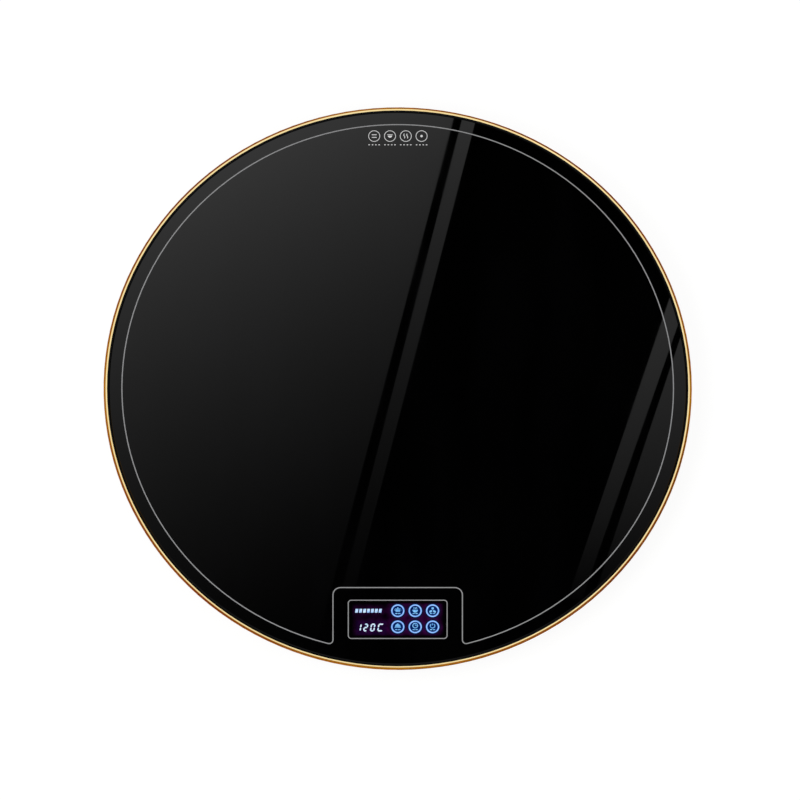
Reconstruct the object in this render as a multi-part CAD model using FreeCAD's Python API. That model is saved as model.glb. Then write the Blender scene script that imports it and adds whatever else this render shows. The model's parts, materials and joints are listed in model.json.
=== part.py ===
import FreeCAD, Part

import math
import os

Vector = FreeCAD.Vector

# Round food warming tray. Millimetres, +Z up, origin on the table under the middle of the glass.
# The control window is at the front, -Y, and the mains inlet is at the rear, +Y.

# The tray as a whole
rim_radius = 300.0
foot_height = 7.0
cavity_height = 23.2

# Glass plate and the silicone that beds it
glass_thickness = 4.0
glass_bevel = 0.8
seal_width = 2.0
seal_pad = 0.8
seal_overlap = 7.5
seal_recess = 0.5

# Metal rim: a bright inner band, a rounded outer shoulder and a shelf under the glass
rim_wall = 3.5
rim_band = 1.5
rim_band_fall = 0.5
rim_proud = 0.3
rim_shoulder = 1.4
rim_edge_height = 1.7
rim_tuck = 3.5
shelf_width = 20.0
shelf_thickness = 3.0

# Bottom cover, a shallow moulded pan
cover_inset = 8.0
cover_wall = 2.0
flange_width = 9.0
skirt_run = 15.0
cover_corner = 8.0
boss_radius = 4.2
post_radius = 3.5
rib_thickness = 1.6
rib_height = 5.0
label_width = 70.0
label_depth = 40.0
label_recess = 0.4
label_offset = 60.0
vent_count = 7
vent_pitch = 9.0
vent_width = 3.0
vent_length = 30.0
vent_inset = 14.0

# Screws, all of one size, in holes formed for their threads
screw_radius = 1.5
screw_head_radius = 2.8
screw_head_height = 1.8
screw_recess = 1.0
screw_slot = 0.8
hole_clearance = 0.2
thread_clearance = 0.05
tip_clearance = 0.6
cover_screw_count = 12

# Rubber feet
foot_count = 6
foot_inset = 65.0
foot_base_radius = 12.0
foot_top_radius = 14.0
foot_grip = 3.5
foot_screw_length = 9.0

# Fired enamel lines, flush in the glass
print_depth = 0.2
zone_inset = 18.7
zone_line = 1.1
notch_half_width = 66.0
notch_rise = 33.9
notch_radius = 7.8
notch_fillet = 4.0
control_setback = 53.55
window_width = 100.8
window_height = 40.8
window_radius = 3.2
window_line = 1.0

# Touch keys, three across and two deep
key_columns = 3
key_rows = 2
key_pitch_x = 17.75
key_pitch_y = 17.2
key_offset_x = 17.85
key_offset_y = 0.6
key_ring_radius = 6.9
key_ring_line = 1.7

# Heating layers under the glass
film_thickness = 0.3
track_thickness = 0.2
blanket_thickness = 8.0
plate_thickness = 0.6
heater_inset = 30.0
control_gap_x = 6.0
control_gap_y = 5.0
busbar_inset = 6.0
busbar_width = 6.0
busbar_gap = 12.0
track_width = 8.0
track_pitch = 16.0
track_margin = 10.0
terminal_offset = 34.0
terminal_size = 6.0
terminal_height = 2.5

# Posts that carry the plate: an inner ring, and four outer ones with screws
inner_post_circle = 130.0
inner_post_count = 6
outer_post_inset = 55.0
outer_post_angles = (30.0, 150.0, 210.0, 330.0)
post_screw_length = 8.0
pocket_clearance = 0.5

# Temperature sensor at the middle, in a silicone plug on a post
sensor_radius = 3.0
sensor_length = 7.5
plug_radius = 8.0
plug_lip_radius = 11.0
plug_lip_height = 3.0
plug_top_gap = 1.0
plug_clearance = 0.3
plug_post_radius = 5.0

# Thermal cutout, riveted to the plate
cutout_x = -30.0
cutout_ahead = 30.0
cutout_cap_radius = 8.0
cutout_cap_height = 4.0
cutout_body_radius = 7.0
cutout_body_height = 8.0
cutout_ear_pitch = 23.8
cutout_ear_radius = 4.0
cutout_ear_thickness = 0.8
cutout_tab_reach = 6.0
cutout_tab_offset = 3.5
cutout_tab_width = 4.8
cutout_tab_thickness = 0.8
cutout_tab_lift = 0.5
rivet_radius = 1.6
rivet_head_radius = 2.6
rivet_head_height = 0.8

# Mains inlet, of the earthed three-blade appliance kind
inlet_setback = 13.0
inlet_flange_width = 50.0
inlet_flange_height = 22.0
inlet_flange_thickness = 3.0
inlet_corner = 3.0
inlet_body_width = 27.6
inlet_body_height = 19.0
inlet_body_depth = 18.0
inlet_socket_width = 24.6
inlet_socket_height = 16.6
inlet_socket_depth = 17.0
inlet_socket_chamfer = 4.5
inlet_screw_pitch = 40.0
inlet_clearance = 0.2
inlet_box_margin = 6.0
blade_width = 2.0
blade_height = 4.0
blade_pitch = 7.0
blade_offset = 2.0
blade_recess = 1.5
blade_tail = 10.0
nut_radius = 3.2
nut_height = 2.4

# Power board in its bay at the rear
board_width = 104.0
board_depth = 76.5
board_thickness = 1.6
board_setback = 63.5
board_lift = 5.0
board_hole_inset = 6.0
bay_margin_x = 18.0
bay_margin_y = 10.0
bay_cover = 3.0

# Parts on the power board: width, depth and height, and the centre across from the middle and from the
# front edge. Parts at the sides keep their distance from the board's side edge instead.
relay_size = (19.2, 15.6, 15.2)
relay_edge = 16.0
relay_row = 43.0
transformer_size = (30.0, 26.0, 10.0)
transformer_place = (8.0, 40.0)
bobbin_size = (22.0, 30.0, 5.8)
filter_capacitor_size = (10.0, 26.0, 14.0)
filter_capacitor_edge = 12.0
filter_capacitor_row = 45.0
block_size = (66.0, 8.5, 10.4)
block_entry_height = 5.0
block_pitch = 16.0
socket_width = 16.0
socket_depth = 7.0
socket_height = 6.0
socket_setback = 1.0
sensor_socket_width = 10.0
fuse_radius = 2.6
fuse_length = 20.0
fuse_lift = 4.2
fuse_edge = 22.0
fuse_row = 22.0
fuse_cap_length = 5.0
clip_width = 4.0
smoothing_capacitor_radius = 5.0
smoothing_capacitor_height = 13.0
smoothing_capacitor_edge = 10.0
smoothing_capacitor_row = 20.0
varistor_radius = 5.0
varistor_thickness = 4.0
varistor_lift = 1.0
varistor_place = (-14.0, 60.0)

# Control board under the window
control_depth = 40.0
control_thickness = 1.6
control_hole_inset = 4.5
control_post_gap = 6.0
control_post_rear = 16.5
control_post_front = -9.0
mask_margin_x = 1.0
mask_margin_y = 0.8
mask_thickness = 0.3
display_size = (30.1, 14.0, 7.2)
display_place = (-26.9, -8.7)
display_gap = 0.3
level_size = (28.0, 4.6, 7.2)
level_place = (-29.8, 9.2)
frame_width = 95.0
frame_depth = 37.0
frame_clearance = 0.3
spring_radius = 5.5
spring_wall = 0.6
spring_room = 1.0
led_size = (3.0, 3.0, 1.2)
chip_size = (10.0, 10.0, 1.6)
chip_place = (-20.0, 2.0)
buzzer_radius = 6.0
buzzer_height = 7.5
buzzer_edge = 16.0
buzzer_row = 0.0
control_socket_place = 16.0

# Flat cable between the boards, and its clips
cable_x = 20.0
cable_width = 12.0
cable_thickness = 1.0
cable_rise = 10.0
cable_lead = 12.0
clip_count = 3
clip_length = 10.0
clip_inset = 20.0
clip_wall = 2.0
clip_clearance = 0.3

# Wires
lead_radius = 1.3
sensor_lead_radius = 1.0
lead_stub = 6.0
bend_share = 0.45
ring_radius = 2.9
ring_thickness = 0.8
ring_gap = 0.5
earth_x = 22.0
barrel_radius = 1.4
barrel_length = 8.0
earth_loop = 11.0
supply_aisle = 6.0
live_aisle = 11.0
supply_turn = 4.0
live_turn = 10.0

# Heights, from the table up
z_cover = foot_height
z_floor = z_cover + cover_wall
z_shelf = z_floor + cavity_height
z_flange = z_shelf - cover_wall
z_seal = z_shelf + shelf_thickness
z_glass = z_seal + seal_pad
z_top = z_glass + glass_thickness
z_rim = z_top + rim_proud
z_film = z_glass - film_thickness
z_track = z_film - track_thickness
z_blanket = z_track - blanket_thickness
z_plate = z_blanket - plate_thickness
z_bay = z_track - bay_cover
z_board = z_floor + board_lift
z_board_top = z_board + board_thickness
z_mask = z_glass - mask_thickness
z_control_top = z_mask - display_gap - display_size[2]
z_control = z_control_top - control_thickness

# Radii, from the rim inwards
lip_radius = rim_radius - rim_wall
glass_radius = lip_radius - seal_width
shelf_radius = lip_radius - shelf_width
zone_radius = rim_radius - zone_inset
cover_radius = rim_radius - cover_inset
skirt_top = cover_radius - flange_width
skirt_foot = skirt_top - skirt_run
heater_radius = rim_radius - heater_inset
busbar_radius = heater_radius - busbar_inset
cover_screw_circle = (cover_radius + skirt_top) / 2
outer_post_circle = rim_radius - outer_post_inset
foot_circle = rim_radius - foot_inset
thread_radius = screw_radius + thread_clearance
hole_radius = screw_radius + hole_clearance

# Places on the power board, and the control board's size and screws
relay_place = (relay_edge - board_width / 2, relay_row)
filter_capacitor_place = (board_width / 2 - filter_capacitor_edge, filter_capacitor_row)
block_place = (0.0, board_depth - block_size[1] / 2)
fuse_place = (fuse_edge - board_width / 2, fuse_row)
smoothing_capacitor_place = (board_width / 2 - smoothing_capacitor_edge, smoothing_capacitor_row)
control_post_x = frame_width / 2 + control_post_gap
control_width = 2 * (control_post_x + control_hole_inset)
buzzer_place = (buzzer_edge - control_width / 2, buzzer_row)

# Places of the window, the boards and the inlet
window_y = control_setback - rim_radius
notch_y = window_y + notch_rise
heater_notch_x = notch_half_width + control_gap_x
heater_notch_y = notch_y + control_gap_y
board_rear = rim_radius - board_setback
board_front = board_rear - board_depth
bay_x = board_width / 2 + bay_margin_x
bay_y = board_front - bay_margin_y
cutout_y = bay_y - cutout_ahead
cutout_tab_end = cutout_y + cutout_body_radius + cutout_tab_reach
z_cutout_cap = z_track - cutout_cap_height
z_cutout_base = z_cutout_cap - cutout_body_height
z_cutout_tab = z_cutout_base + cutout_tab_lift
inlet_face = rim_radius - inlet_setback
inlet_wall = inlet_face - inlet_flange_thickness
inlet_rear = inlet_wall - inlet_body_depth
inlet_z = (z_cover + z_flange) / 2
inlet_box_x = inlet_flange_width / 2 + inlet_box_margin
block_face = board_front + block_place[1] + block_size[1] / 2
block_z = z_board_top + block_entry_height
terminal_y = math.sqrt((busbar_radius - busbar_width / 2) ** 2 - terminal_offset ** 2)
z_terminal = z_track - terminal_height


def box(x0, x1, y0, y1, z0, z1):
    """Block between two corners."""
    return Part.makeBox(x1 - x0, y1 - y0, z1 - z0, Vector(x0, y0, z0))


def block(size, place, z):
    """Block of a size, centred on a place, standing on z."""
    width, depth, height = size
    corner = Vector(place[0] - width / 2, place[1] - depth / 2, z)
    return Part.makeBox(width, depth, height, corner)


def rod(radius, z0, z1, place=(0.0, 0.0)):
    """Upright cylinder."""
    return Part.makeCylinder(radius, z1 - z0, Vector(place[0], place[1], z0))


def tube(outer, inner, z0, z1, place=(0.0, 0.0)):
    """Upright pipe."""
    return rod(outer, z0, z1, place).cut(rod(inner, z0, z1, place))


def outline(corners, lift):
    """Face inside corners (a, b, radius); lift turns a and b into a point."""
    count = len(corners)
    points = [Vector(a, b, 0) for a, b, _ in corners]
    edges = []
    joins = []
    for index, (_, _, radius) in enumerate(corners):
        here = points[index]
        before = (points[index - 1] - here).normalize()
        after = (points[(index + 1) % count] - here).normalize()
        if radius == 0:
            joins.append((here, here))
            continue
        half = before.getAngle(after) / 2
        middle = (before + after).normalize()
        start = here + before * (radius / math.tan(half))
        end = here + after * (radius / math.tan(half))
        crown = here + middle * (radius / math.sin(half) - radius)
        joins.append((start, end))
        arc = [lift(p.x, p.y) for p in (start, crown, end)]
        edges.append(Part.Arc(*arc).toShape())
    for index in range(count):
        start = joins[index][1]
        end = joins[(index + 1) % count][0]
        edges.append(Part.LineSegment(lift(start.x, start.y), lift(end.x, end.y)).toShape())
    return Part.Face(Part.Wire(Part.__sortEdges__(edges)))


def turned(corners):
    """Ring or disc turned from a profile of (radius, z, corner radius)."""
    face = outline(corners, lambda r, z: Vector(r, 0, z))
    return face.revolve(Vector(0, 0, 0), Vector(0, 0, 1), 360)


def slab(corners, z0, z1):
    """Upright plate with a plan of (x, y, corner radius)."""
    face = outline(corners, lambda x, y: Vector(x, y, z0))
    return face.extrude(Vector(0, 0, z1 - z0))


def rectangle(width, depth, radius, place):
    """Corners of a rounded rectangle about a place."""
    x, y = place
    half_x, half_y = width / 2, depth / 2
    signs = ((-1, -1), (1, -1), (1, 1), (-1, 1))
    return [(x + a * half_x, y + b * half_y, radius) for a, b in signs]


def around(count, radius, first=0.0):
    """Places evenly spaced on a circle."""
    angles = [first + index * 360 / count for index in range(count)]
    return [polar(radius, angle) for angle in angles]


def polar(radius, angle):
    """Place at a radius and an angle in degrees."""
    turn = math.radians(angle)
    return radius * math.cos(turn), radius * math.sin(turn)


def fused(shapes):
    """One solid from solids that overlap or share faces."""
    whole = shapes[0]
    for shape in shapes[1:]:
        whole = whole.fuse(shape)
    return whole.removeSplitter()


def without(shape, tools):
    """A shape with every tool cut out of it."""
    for tool in tools:
        shape = shape.cut(tool)
    return shape


def screw(length):
    """Pan-head screw with a cross recess, head down, its seat at z = 0 and its shank upwards."""
    edge = screw_head_height / 3
    profile = [
        (0, -screw_head_height, 0),
        (screw_head_radius, -screw_head_height, edge),
        (screw_head_radius, 0, 0),
        (screw_radius, 0, 0),
        (screw_radius, length - screw_radius, 0),
        (screw_radius / 3, length, 0),
        (0, length, 0),
    ]
    arm = screw_head_radius * 0.6
    half = screw_slot / 2
    low = -screw_head_height
    slots = [
        box(-arm, arm, -half, half, low, low + screw_recess),
        box(-half, half, -arm, arm, low, low + screw_recess),
    ]
    return without(turned(profile), slots)


def screws_up(places, z, length):
    """Screws driven upwards, with their heads under z."""
    shapes = []
    for x, y in places:
        piece = screw(length)
        piece.translate(Vector(x, y, z))
        shapes.append(piece)
    return Part.makeCompound(shapes)


def screws_down(places, z, length):
    """Screws driven downwards, with their heads over z."""
    shapes = []
    for x, y in places:
        piece = screw(length)
        piece.rotate(Vector(0, 0, 0), Vector(1, 0, 0), 180)
        piece.translate(Vector(x, y, z))
        shapes.append(piece)
    return Part.makeCompound(shapes)


def lead(name, route, radius):
    """Round wire along straight runs joined by tangent arcs; prints its tightest bend."""
    points = [Vector(*point) for point in route]
    edges = []
    radii = []
    start = points[0]
    for before, here, after in zip(points, points[1:], points[2:]):
        back = before - here
        ahead = after - here
        reach = bend_share * min(back.Length, ahead.Length)
        back.normalize()
        ahead.normalize()
        half = back.getAngle(ahead) / 2
        bend = reach * math.tan(half)
        middle = (back + ahead).normalize()
        crown = here + middle * (bend / math.sin(half) - bend)
        enter = here + back * reach
        leave = here + ahead * reach
        edges.append(Part.LineSegment(start, enter).toShape())
        edges.append(Part.Arc(enter, crown, leave).toShape())
        radii.append(bend)
        start = leave
    edges.append(Part.LineSegment(start, points[-1]).toShape())
    path = Part.Wire(edges)
    section = Part.Wire(Part.Circle(points[0], points[1] - points[0], radius).toShape())
    solid = path.makePipeShell([section], True, False)
    share = solid.Volume / (math.pi * radius ** 2 * path.Length)
    print(f"{name}: length {path.Length:.0f}, tightest bend {min(radii):.1f}, volume share {share:.3f}")
    return solid


def zone_face(inset, z):
    """Area inside the warm zone's line: a disc with a rounded notch for the controls."""
    radius = zone_radius - inset
    side = notch_half_width + inset
    top = notch_y + inset
    corner = notch_radius + inset
    fillet = notch_fillet - inset
    hub_x = side + fillet
    hub_y = -math.sqrt((radius - fillet) ** 2 - hub_x ** 2)
    rim_x = hub_x * radius / (radius - fillet)
    rim_y = hub_y * radius / (radius - fillet)
    diagonal = math.sqrt(0.5)
    bisector = Vector(rim_x - hub_x, rim_y - hub_y, 0).normalize() + Vector(-1, 0, 0)
    bisector.normalize()
    crown = Vector(hub_x, hub_y, z) + bisector * fillet
    turn = Vector(side - corner + corner * diagonal, top - corner + corner * diagonal, z)

    def mirrored(point):
        return Vector(-point.x, point.y, point.z)

    rim_end = Vector(rim_x, rim_y, z)
    wall_low = Vector(side, hub_y, z)
    wall_high = Vector(side, top - corner, z)
    top_end = Vector(side - corner, top, z)
    edges = [
        Part.Arc(rim_end, Vector(0, radius, z), mirrored(rim_end)),
        Part.Arc(mirrored(rim_end), mirrored(crown), mirrored(wall_low)),
        Part.LineSegment(mirrored(wall_low), mirrored(wall_high)),
        Part.Arc(mirrored(wall_high), mirrored(turn), mirrored(top_end)),
        Part.LineSegment(mirrored(top_end), top_end),
        Part.Arc(top_end, turn, wall_high),
        Part.LineSegment(wall_high, wall_low),
        Part.Arc(wall_low, crown, rim_end),
    ]
    return Part.Face(Part.Wire([edge.toShape() for edge in edges]))


def key_places():
    """Centres of the touch keys, rear row first, from left to right."""
    first_x = key_offset_x - key_pitch_x * (key_columns - 1) / 2
    first_y = window_y + key_offset_y + key_pitch_y * (key_rows - 1) / 2
    return [
        (first_x + column * key_pitch_x, first_y - row * key_pitch_y)
        for row in range(key_rows)
        for column in range(key_columns)
    ]


def zone_print():
    """Line round the warm zone, stepped in round the controls."""
    z = z_top - print_depth
    up = Vector(0, 0, print_depth)
    outer = zone_face(-zone_line / 2, z).extrude(up)
    inner = zone_face(zone_line / 2, z).extrude(up)
    return outer.cut(inner)


def window_print():
    """Rounded rectangle round the display and the keys."""
    place = (0.0, window_y)
    z = z_top - print_depth
    half = window_line / 2
    outer = rectangle(window_width + window_line, window_height + window_line, window_radius + half, place)
    inner = rectangle(window_width - window_line, window_height - window_line, window_radius - half, place)
    return slab(outer, z, z_top).cut(slab(inner, z, z_top))


def key_print():
    """Clear ring in the print over each touch key."""
    z = z_top - print_depth
    inner = key_ring_radius - key_ring_line
    return Part.makeCompound([tube(key_ring_radius, inner, z, z_top, place) for place in key_places()])


def glass_top(prints):
    """Tempered glass disc with bevelled edges and shallow beds for the enamel."""
    disc = turned([
        (0, z_glass, 0),
        (glass_radius - glass_bevel, z_glass, 0),
        (glass_radius, z_glass + glass_bevel, 0),
        (glass_radius, z_top - glass_bevel, 0),
        (glass_radius - glass_bevel, z_top, 0),
        (0, z_top, 0),
    ])
    return without(disc, prints)


def glass_seal():
    """Silicone bed: a pad under the glass edge and a bead between glass and rim."""
    return turned([
        (glass_radius - seal_overlap, z_seal, 0),
        (lip_radius, z_seal, 0),
        (lip_radius, z_top - seal_recess, 0),
        (glass_radius, z_top - seal_recess - glass_bevel, 0),
        (glass_radius, z_glass + glass_bevel, 0),
        (glass_radius - glass_bevel, z_glass, 0),
        (glass_radius - seal_overlap, z_glass, 0),
    ])


def cover_screw_places():
    """Screws between the cover's flange and the rim's shelf, clear of the inlet."""
    return around(cover_screw_count, cover_screw_circle, 180 / cover_screw_count)


def earth_place():
    """Earth screw in the shelf, between the shelf's edge and the inlet's wall."""
    limit = inlet_wall - cover_wall - ring_gap
    return earth_x, limit - ring_radius


def rim_ring():
    """Metal rim with its shelf, and threads for the cover screws and the earth screw."""
    ring = turned([
        (shelf_radius, z_shelf, 0),
        (rim_radius - rim_tuck, z_shelf, 0),
        (rim_radius, z_rim - rim_edge_height, 0),
        (rim_radius, z_rim, rim_shoulder),
        (lip_radius + rim_band, z_rim, 0),
        (lip_radius, z_rim - rim_band_fall, 0),
        (lip_radius, z_seal, 0),
        (shelf_radius, z_seal, 0),
    ])
    places = cover_screw_places() + [earth_place()]
    return without(ring, [rod(thread_radius, z_shelf, z_seal, place) for place in places])


def skirt_inner(z):
    """Inside radius of the cover's skirt at a height."""
    rise = (z - z_floor) / (z_shelf - z_floor)
    return skirt_foot + skirt_run * rise - cover_wall


def cover_pan():
    """Pan with its sloping skirt, its flange and the upright wall for the inlet."""
    outer = turned([
        (0, z_cover, 0),
        (skirt_foot, z_cover, cover_corner),
        (skirt_top, z_flange, 0),
        (cover_radius, z_flange, 0),
        (cover_radius, z_shelf, 0),
        (0, z_shelf, 0),
    ])
    inner = turned([
        (0, z_floor, 0),
        (skirt_foot - cover_wall, z_floor, cover_corner - cover_wall),
        (skirt_top - cover_wall, z_shelf, 0),
        (0, z_shelf, 0),
    ])
    start = board_rear
    side = inlet_box_x
    wall_out = box(-side, side, start, inlet_wall, z_cover, z_shelf)
    side = side - cover_wall
    wall_in = box(-side, side, start, inlet_wall - cover_wall, z_floor, z_shelf)
    return outer.fuse(wall_out).cut(inner).cut(wall_in)


def board_hole_places():
    """Screws of the power board."""
    half = board_width / 2 - board_hole_inset
    rows = (board_front + board_hole_inset, board_rear - board_hole_inset - block_size[1])
    return [(x, y) for y in rows for x in (-half, half)]


def control_hole_places():
    """Screws of the control board."""
    rows = (window_y + control_post_rear, window_y + control_post_front)
    return [(x, y) for y in rows for x in (-control_post_x, control_post_x)]


def outer_post_places():
    """Posts that take the plate's screws."""
    return [polar(outer_post_circle, angle) for angle in outer_post_angles]


def post(top, place):
    """Hollow post on the cover's floor, for a screw from above."""
    solid = rod(post_radius, z_floor, top, place)
    return solid.cut(rod(thread_radius, z_floor, top, place))


def foot_boss(place):
    """Boss over a foot, for the screw from below."""
    return rod(boss_radius, z_floor, z_cover + foot_screw_length, place)


def ribs():
    """Radial ribs from the middle out to the foot bosses."""
    start = inner_post_circle / 2
    shapes = []
    for index in range(foot_count):
        half = rib_thickness / 2
        rib = box(start, foot_circle, -half, half, z_floor, z_floor + rib_height)
        rib.rotate(Vector(0, 0, 0), Vector(0, 0, 1), index * 360 / foot_count)
        shapes.append(rib)
    return shapes


def vents():
    """Slots in the floor under the power board."""
    middle = board_front + vent_inset + vent_length / 2
    first = -vent_pitch * (vent_count - 1) / 2
    places = [(first + index * vent_pitch, middle) for index in range(vent_count)]
    end = vent_width / 2 - 0.01
    return [slab(rectangle(vent_width, vent_length, end, place), z_cover, z_floor) for place in places]


def inlet_opening():
    """Cut-out and screw holes in the cover's rear wall."""
    width = inlet_body_width / 2 + inlet_clearance
    height = inlet_body_height / 2 + inlet_clearance
    back = inlet_wall - cover_wall
    tools = [box(-width, width, back, inlet_wall, inlet_z - height, inlet_z + height)]
    for x in (-inlet_screw_pitch / 2, inlet_screw_pitch / 2):
        tools.append(Part.makeCylinder(hole_radius, cover_wall, Vector(x, back, inlet_z), Vector(0, 1, 0)))
    return tools


def bottom_cover():
    """Moulded bottom: pan, bosses, posts and ribs in one piece."""
    feet = around(foot_count, foot_circle)
    solids = [cover_pan()] + ribs()
    solids += [foot_boss(place) for place in feet]
    solids += [rod(post_radius, z_floor, z_plate, place) for place in around(inner_post_count, inner_post_circle)]
    solids += [rod(post_radius, z_floor, z_plate, place) for place in outer_post_places()]
    solids += [rod(post_radius, z_floor, z_board, place) for place in board_hole_places()]
    solids += [rod(post_radius, z_floor, z_control, place) for place in control_hole_places()]
    solids.append(rod(plug_post_radius, z_floor, z_plate - plug_lip_height))
    threads = [rod(thread_radius, z_cover, z_cover + foot_screw_length, place) for place in feet]
    threads += [rod(thread_radius, z_floor, z_plate, place) for place in outer_post_places()]
    threads += [rod(thread_radius, z_floor, z_board, place) for place in board_hole_places()]
    threads += [rod(thread_radius, z_floor, z_control, place) for place in control_hole_places()]
    holes = [rod(hole_radius, z_flange, z_shelf, place) for place in cover_screw_places()]
    label = rectangle(label_width, label_depth, cover_wall, (0.0, -label_offset))
    recess = slab(label, z_cover, z_cover + label_recess)
    return without(fused(solids), threads + holes + vents() + inlet_opening() + [recess])


def foot(place):
    """Rubber foot with a sunk seat for its screw."""
    x, y = place
    body = Part.makeCone(foot_base_radius, foot_top_radius, foot_height, Vector(x, y, 0))
    well = rod(screw_head_radius + hole_clearance, 0, foot_height - foot_grip, place)
    return without(body, [well, rod(hole_radius, 0, foot_height, place)])


def heater_notch(z0, z1):
    """Space of the controls, where nothing is heated."""
    return box(-heater_notch_x, heater_notch_x, -rim_radius, heater_notch_y, z0, z1)


def heater_film():
    """Film with the heating element, bonded under the glass."""
    return rod(heater_radius, z_film, z_glass).cut(heater_notch(z_film, z_glass))


def busbars():
    """Two half-round copper strips, one on each side of the film."""
    ring = tube(busbar_radius, busbar_radius - busbar_width, z_track, z_film)
    half = busbar_gap / 2
    gap = box(-half, half, -rim_radius, rim_radius, z_track, z_film)
    return without(ring, [gap, heater_notch(z_track, z_film)])


def heater_tracks():
    """Resistive strips that run from one busbar to the other."""
    reach = busbar_radius - busbar_width
    first = heater_notch_y + track_margin
    count = int((reach - track_margin - first) / track_pitch) + 1
    room = rod(reach, z_track, z_film)
    strips = []
    for index in range(count):
        low = first + index * track_pitch
        strip = box(-reach, reach, low, low + track_width, z_track, z_film)
        strips.append(strip.common(room))
    return Part.makeCompound(strips)


def bay(z0, z1):
    """Space of the power board and the inlet."""
    return box(-bay_x, bay_x, bay_y, rim_radius, z0, z1)


def cutout_ear_places():
    """Rivets of the thermal cutout."""
    half = cutout_ear_pitch / 2
    return [(cutout_x - half, cutout_y), (cutout_x + half, cutout_y)]


def cutout_slot(z0, z1, room):
    """Space round the thermal cutout and its ears."""
    width = cutout_ear_pitch + 2 * (cutout_ear_radius + room)
    depth = 2 * (cutout_cap_radius + room)
    return block((width, depth, z1 - z0), (cutout_x, cutout_y), z0)


def insulation_blanket():
    """Fibre blanket, thinner over the bay, with holes for what passes through."""
    disc = rod(heater_radius, z_blanket, z_track)
    head = screw_head_radius + pocket_clearance
    pockets = [
        rod(head, z_blanket, z_blanket + screw_head_height + pocket_clearance, place)
        for place in outer_post_places()
    ]
    terminals = [
        block((terminal_size * 2, terminal_size * 2, bay_cover), (x, terminal_y), z_bay)
        for x in (-terminal_offset, terminal_offset)
    ]
    tools = pockets + terminals + [
        heater_notch(z_blanket, z_track),
        bay(z_blanket, z_bay),
        cutout_slot(z_blanket, z_track, pocket_clearance),
        rod(plug_radius + plug_clearance, z_blanket, z_track),
    ]
    return without(disc, tools)


def reflector_plate():
    """Sheet that holds the blanket up and turns the heat back."""
    disc = rod(heater_radius, z_plate, z_blanket)
    tools = [rod(hole_radius, z_plate, z_blanket, place) for place in outer_post_places()]
    tools += [rod(rivet_radius, z_plate, z_blanket, place) for place in cutout_ear_places()]
    tools += [
        heater_notch(z_plate, z_blanket),
        bay(z_plate, z_blanket),
        rod(cutout_body_radius + plug_clearance, z_plate, z_blanket, (cutout_x, cutout_y)),
        rod(plug_radius + plug_clearance, z_plate, z_blanket),
    ]
    return without(disc, tools)


def sensor_plug():
    """Silicone plug that a post pushes up against the film."""
    z_lip = z_plate - plug_lip_height
    top = z_track - plug_top_gap
    body = fused([rod(plug_lip_radius, z_lip, z_plate), rod(plug_radius, z_plate, top)])
    return body.cut(rod(sensor_radius, z_track - sensor_length, top))


def temperature_sensor():
    """Metal capsule that touches the heating layer."""
    return rod(sensor_radius, z_track - sensor_length, z_track)


def thermal_cutout():
    """Disc thermostat: cap, body, ears and two tabs."""
    place = (cutout_x, cutout_y)
    ears = [rod(cutout_ear_radius, z_blanket, z_blanket + cutout_ear_thickness, ear) for ear in cutout_ear_places()]
    strap = (cutout_ear_pitch, cutout_ear_radius * 2, cutout_ear_thickness)
    solids = [
        rod(cutout_cap_radius, z_cutout_cap, z_track, place),
        rod(cutout_body_radius, z_cutout_base, z_cutout_cap, place),
        block(strap, place, z_blanket),
    ]
    half = cutout_tab_width / 2
    for x in (cutout_x - cutout_tab_offset, cutout_x + cutout_tab_offset):
        top = z_cutout_tab + cutout_tab_thickness
        solids.append(box(x - half, x + half, cutout_y, cutout_tab_end, z_cutout_tab, top))
    holes = [rod(rivet_radius, z_blanket, z_track, ear) for ear in cutout_ear_places()]
    return without(fused(solids + ears), holes)


def cutout_rivets():
    """Rivets through the ears and the plate."""
    shapes = []
    z_ear = z_blanket + cutout_ear_thickness
    for place in cutout_ear_places():
        shapes.append(fused([
            rod(rivet_head_radius, z_ear, z_ear + rivet_head_height, place),
            rod(rivet_radius, z_plate, z_ear, place),
            rod(rivet_head_radius, z_plate - rivet_head_height, z_plate, place),
        ]))
    return Part.makeCompound(shapes)


def upright_slab(corners, y0, y1):
    """Plate with a face of (x, z, corner radius), from y0 to y1."""
    face = outline(corners, lambda x, z: Vector(x, y0, z))
    return face.extrude(Vector(0, y1 - y0, 0))


def blade_places():
    """Live, neutral and earth blades, in x and z."""
    return {
        "live": (blade_pitch, inlet_z - blade_offset),
        "neutral": (-blade_pitch, inlet_z - blade_offset),
        "earth": (0.0, inlet_z + blade_offset),
    }


def post_screws():
    """Screws of the plate and of both boards, driven down into their posts."""
    return Part.makeCompound([
        screws_down(outer_post_places(), z_blanket, post_screw_length),
        screws_down(board_hole_places(), z_board_top, post_screw_length - cover_wall),
        screws_down(control_hole_places(), z_control_top, post_screw_length),
    ])


def blade(place):
    """Flat blade through the inlet's rear wall, with a solder tail inside."""
    x, z = place
    front = inlet_face - blade_recess
    back = inlet_rear - blade_tail
    half_x, half_z = blade_width / 2, blade_height / 2
    return box(x - half_x, x + half_x, back, front, z - half_z, z + half_z)


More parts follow.
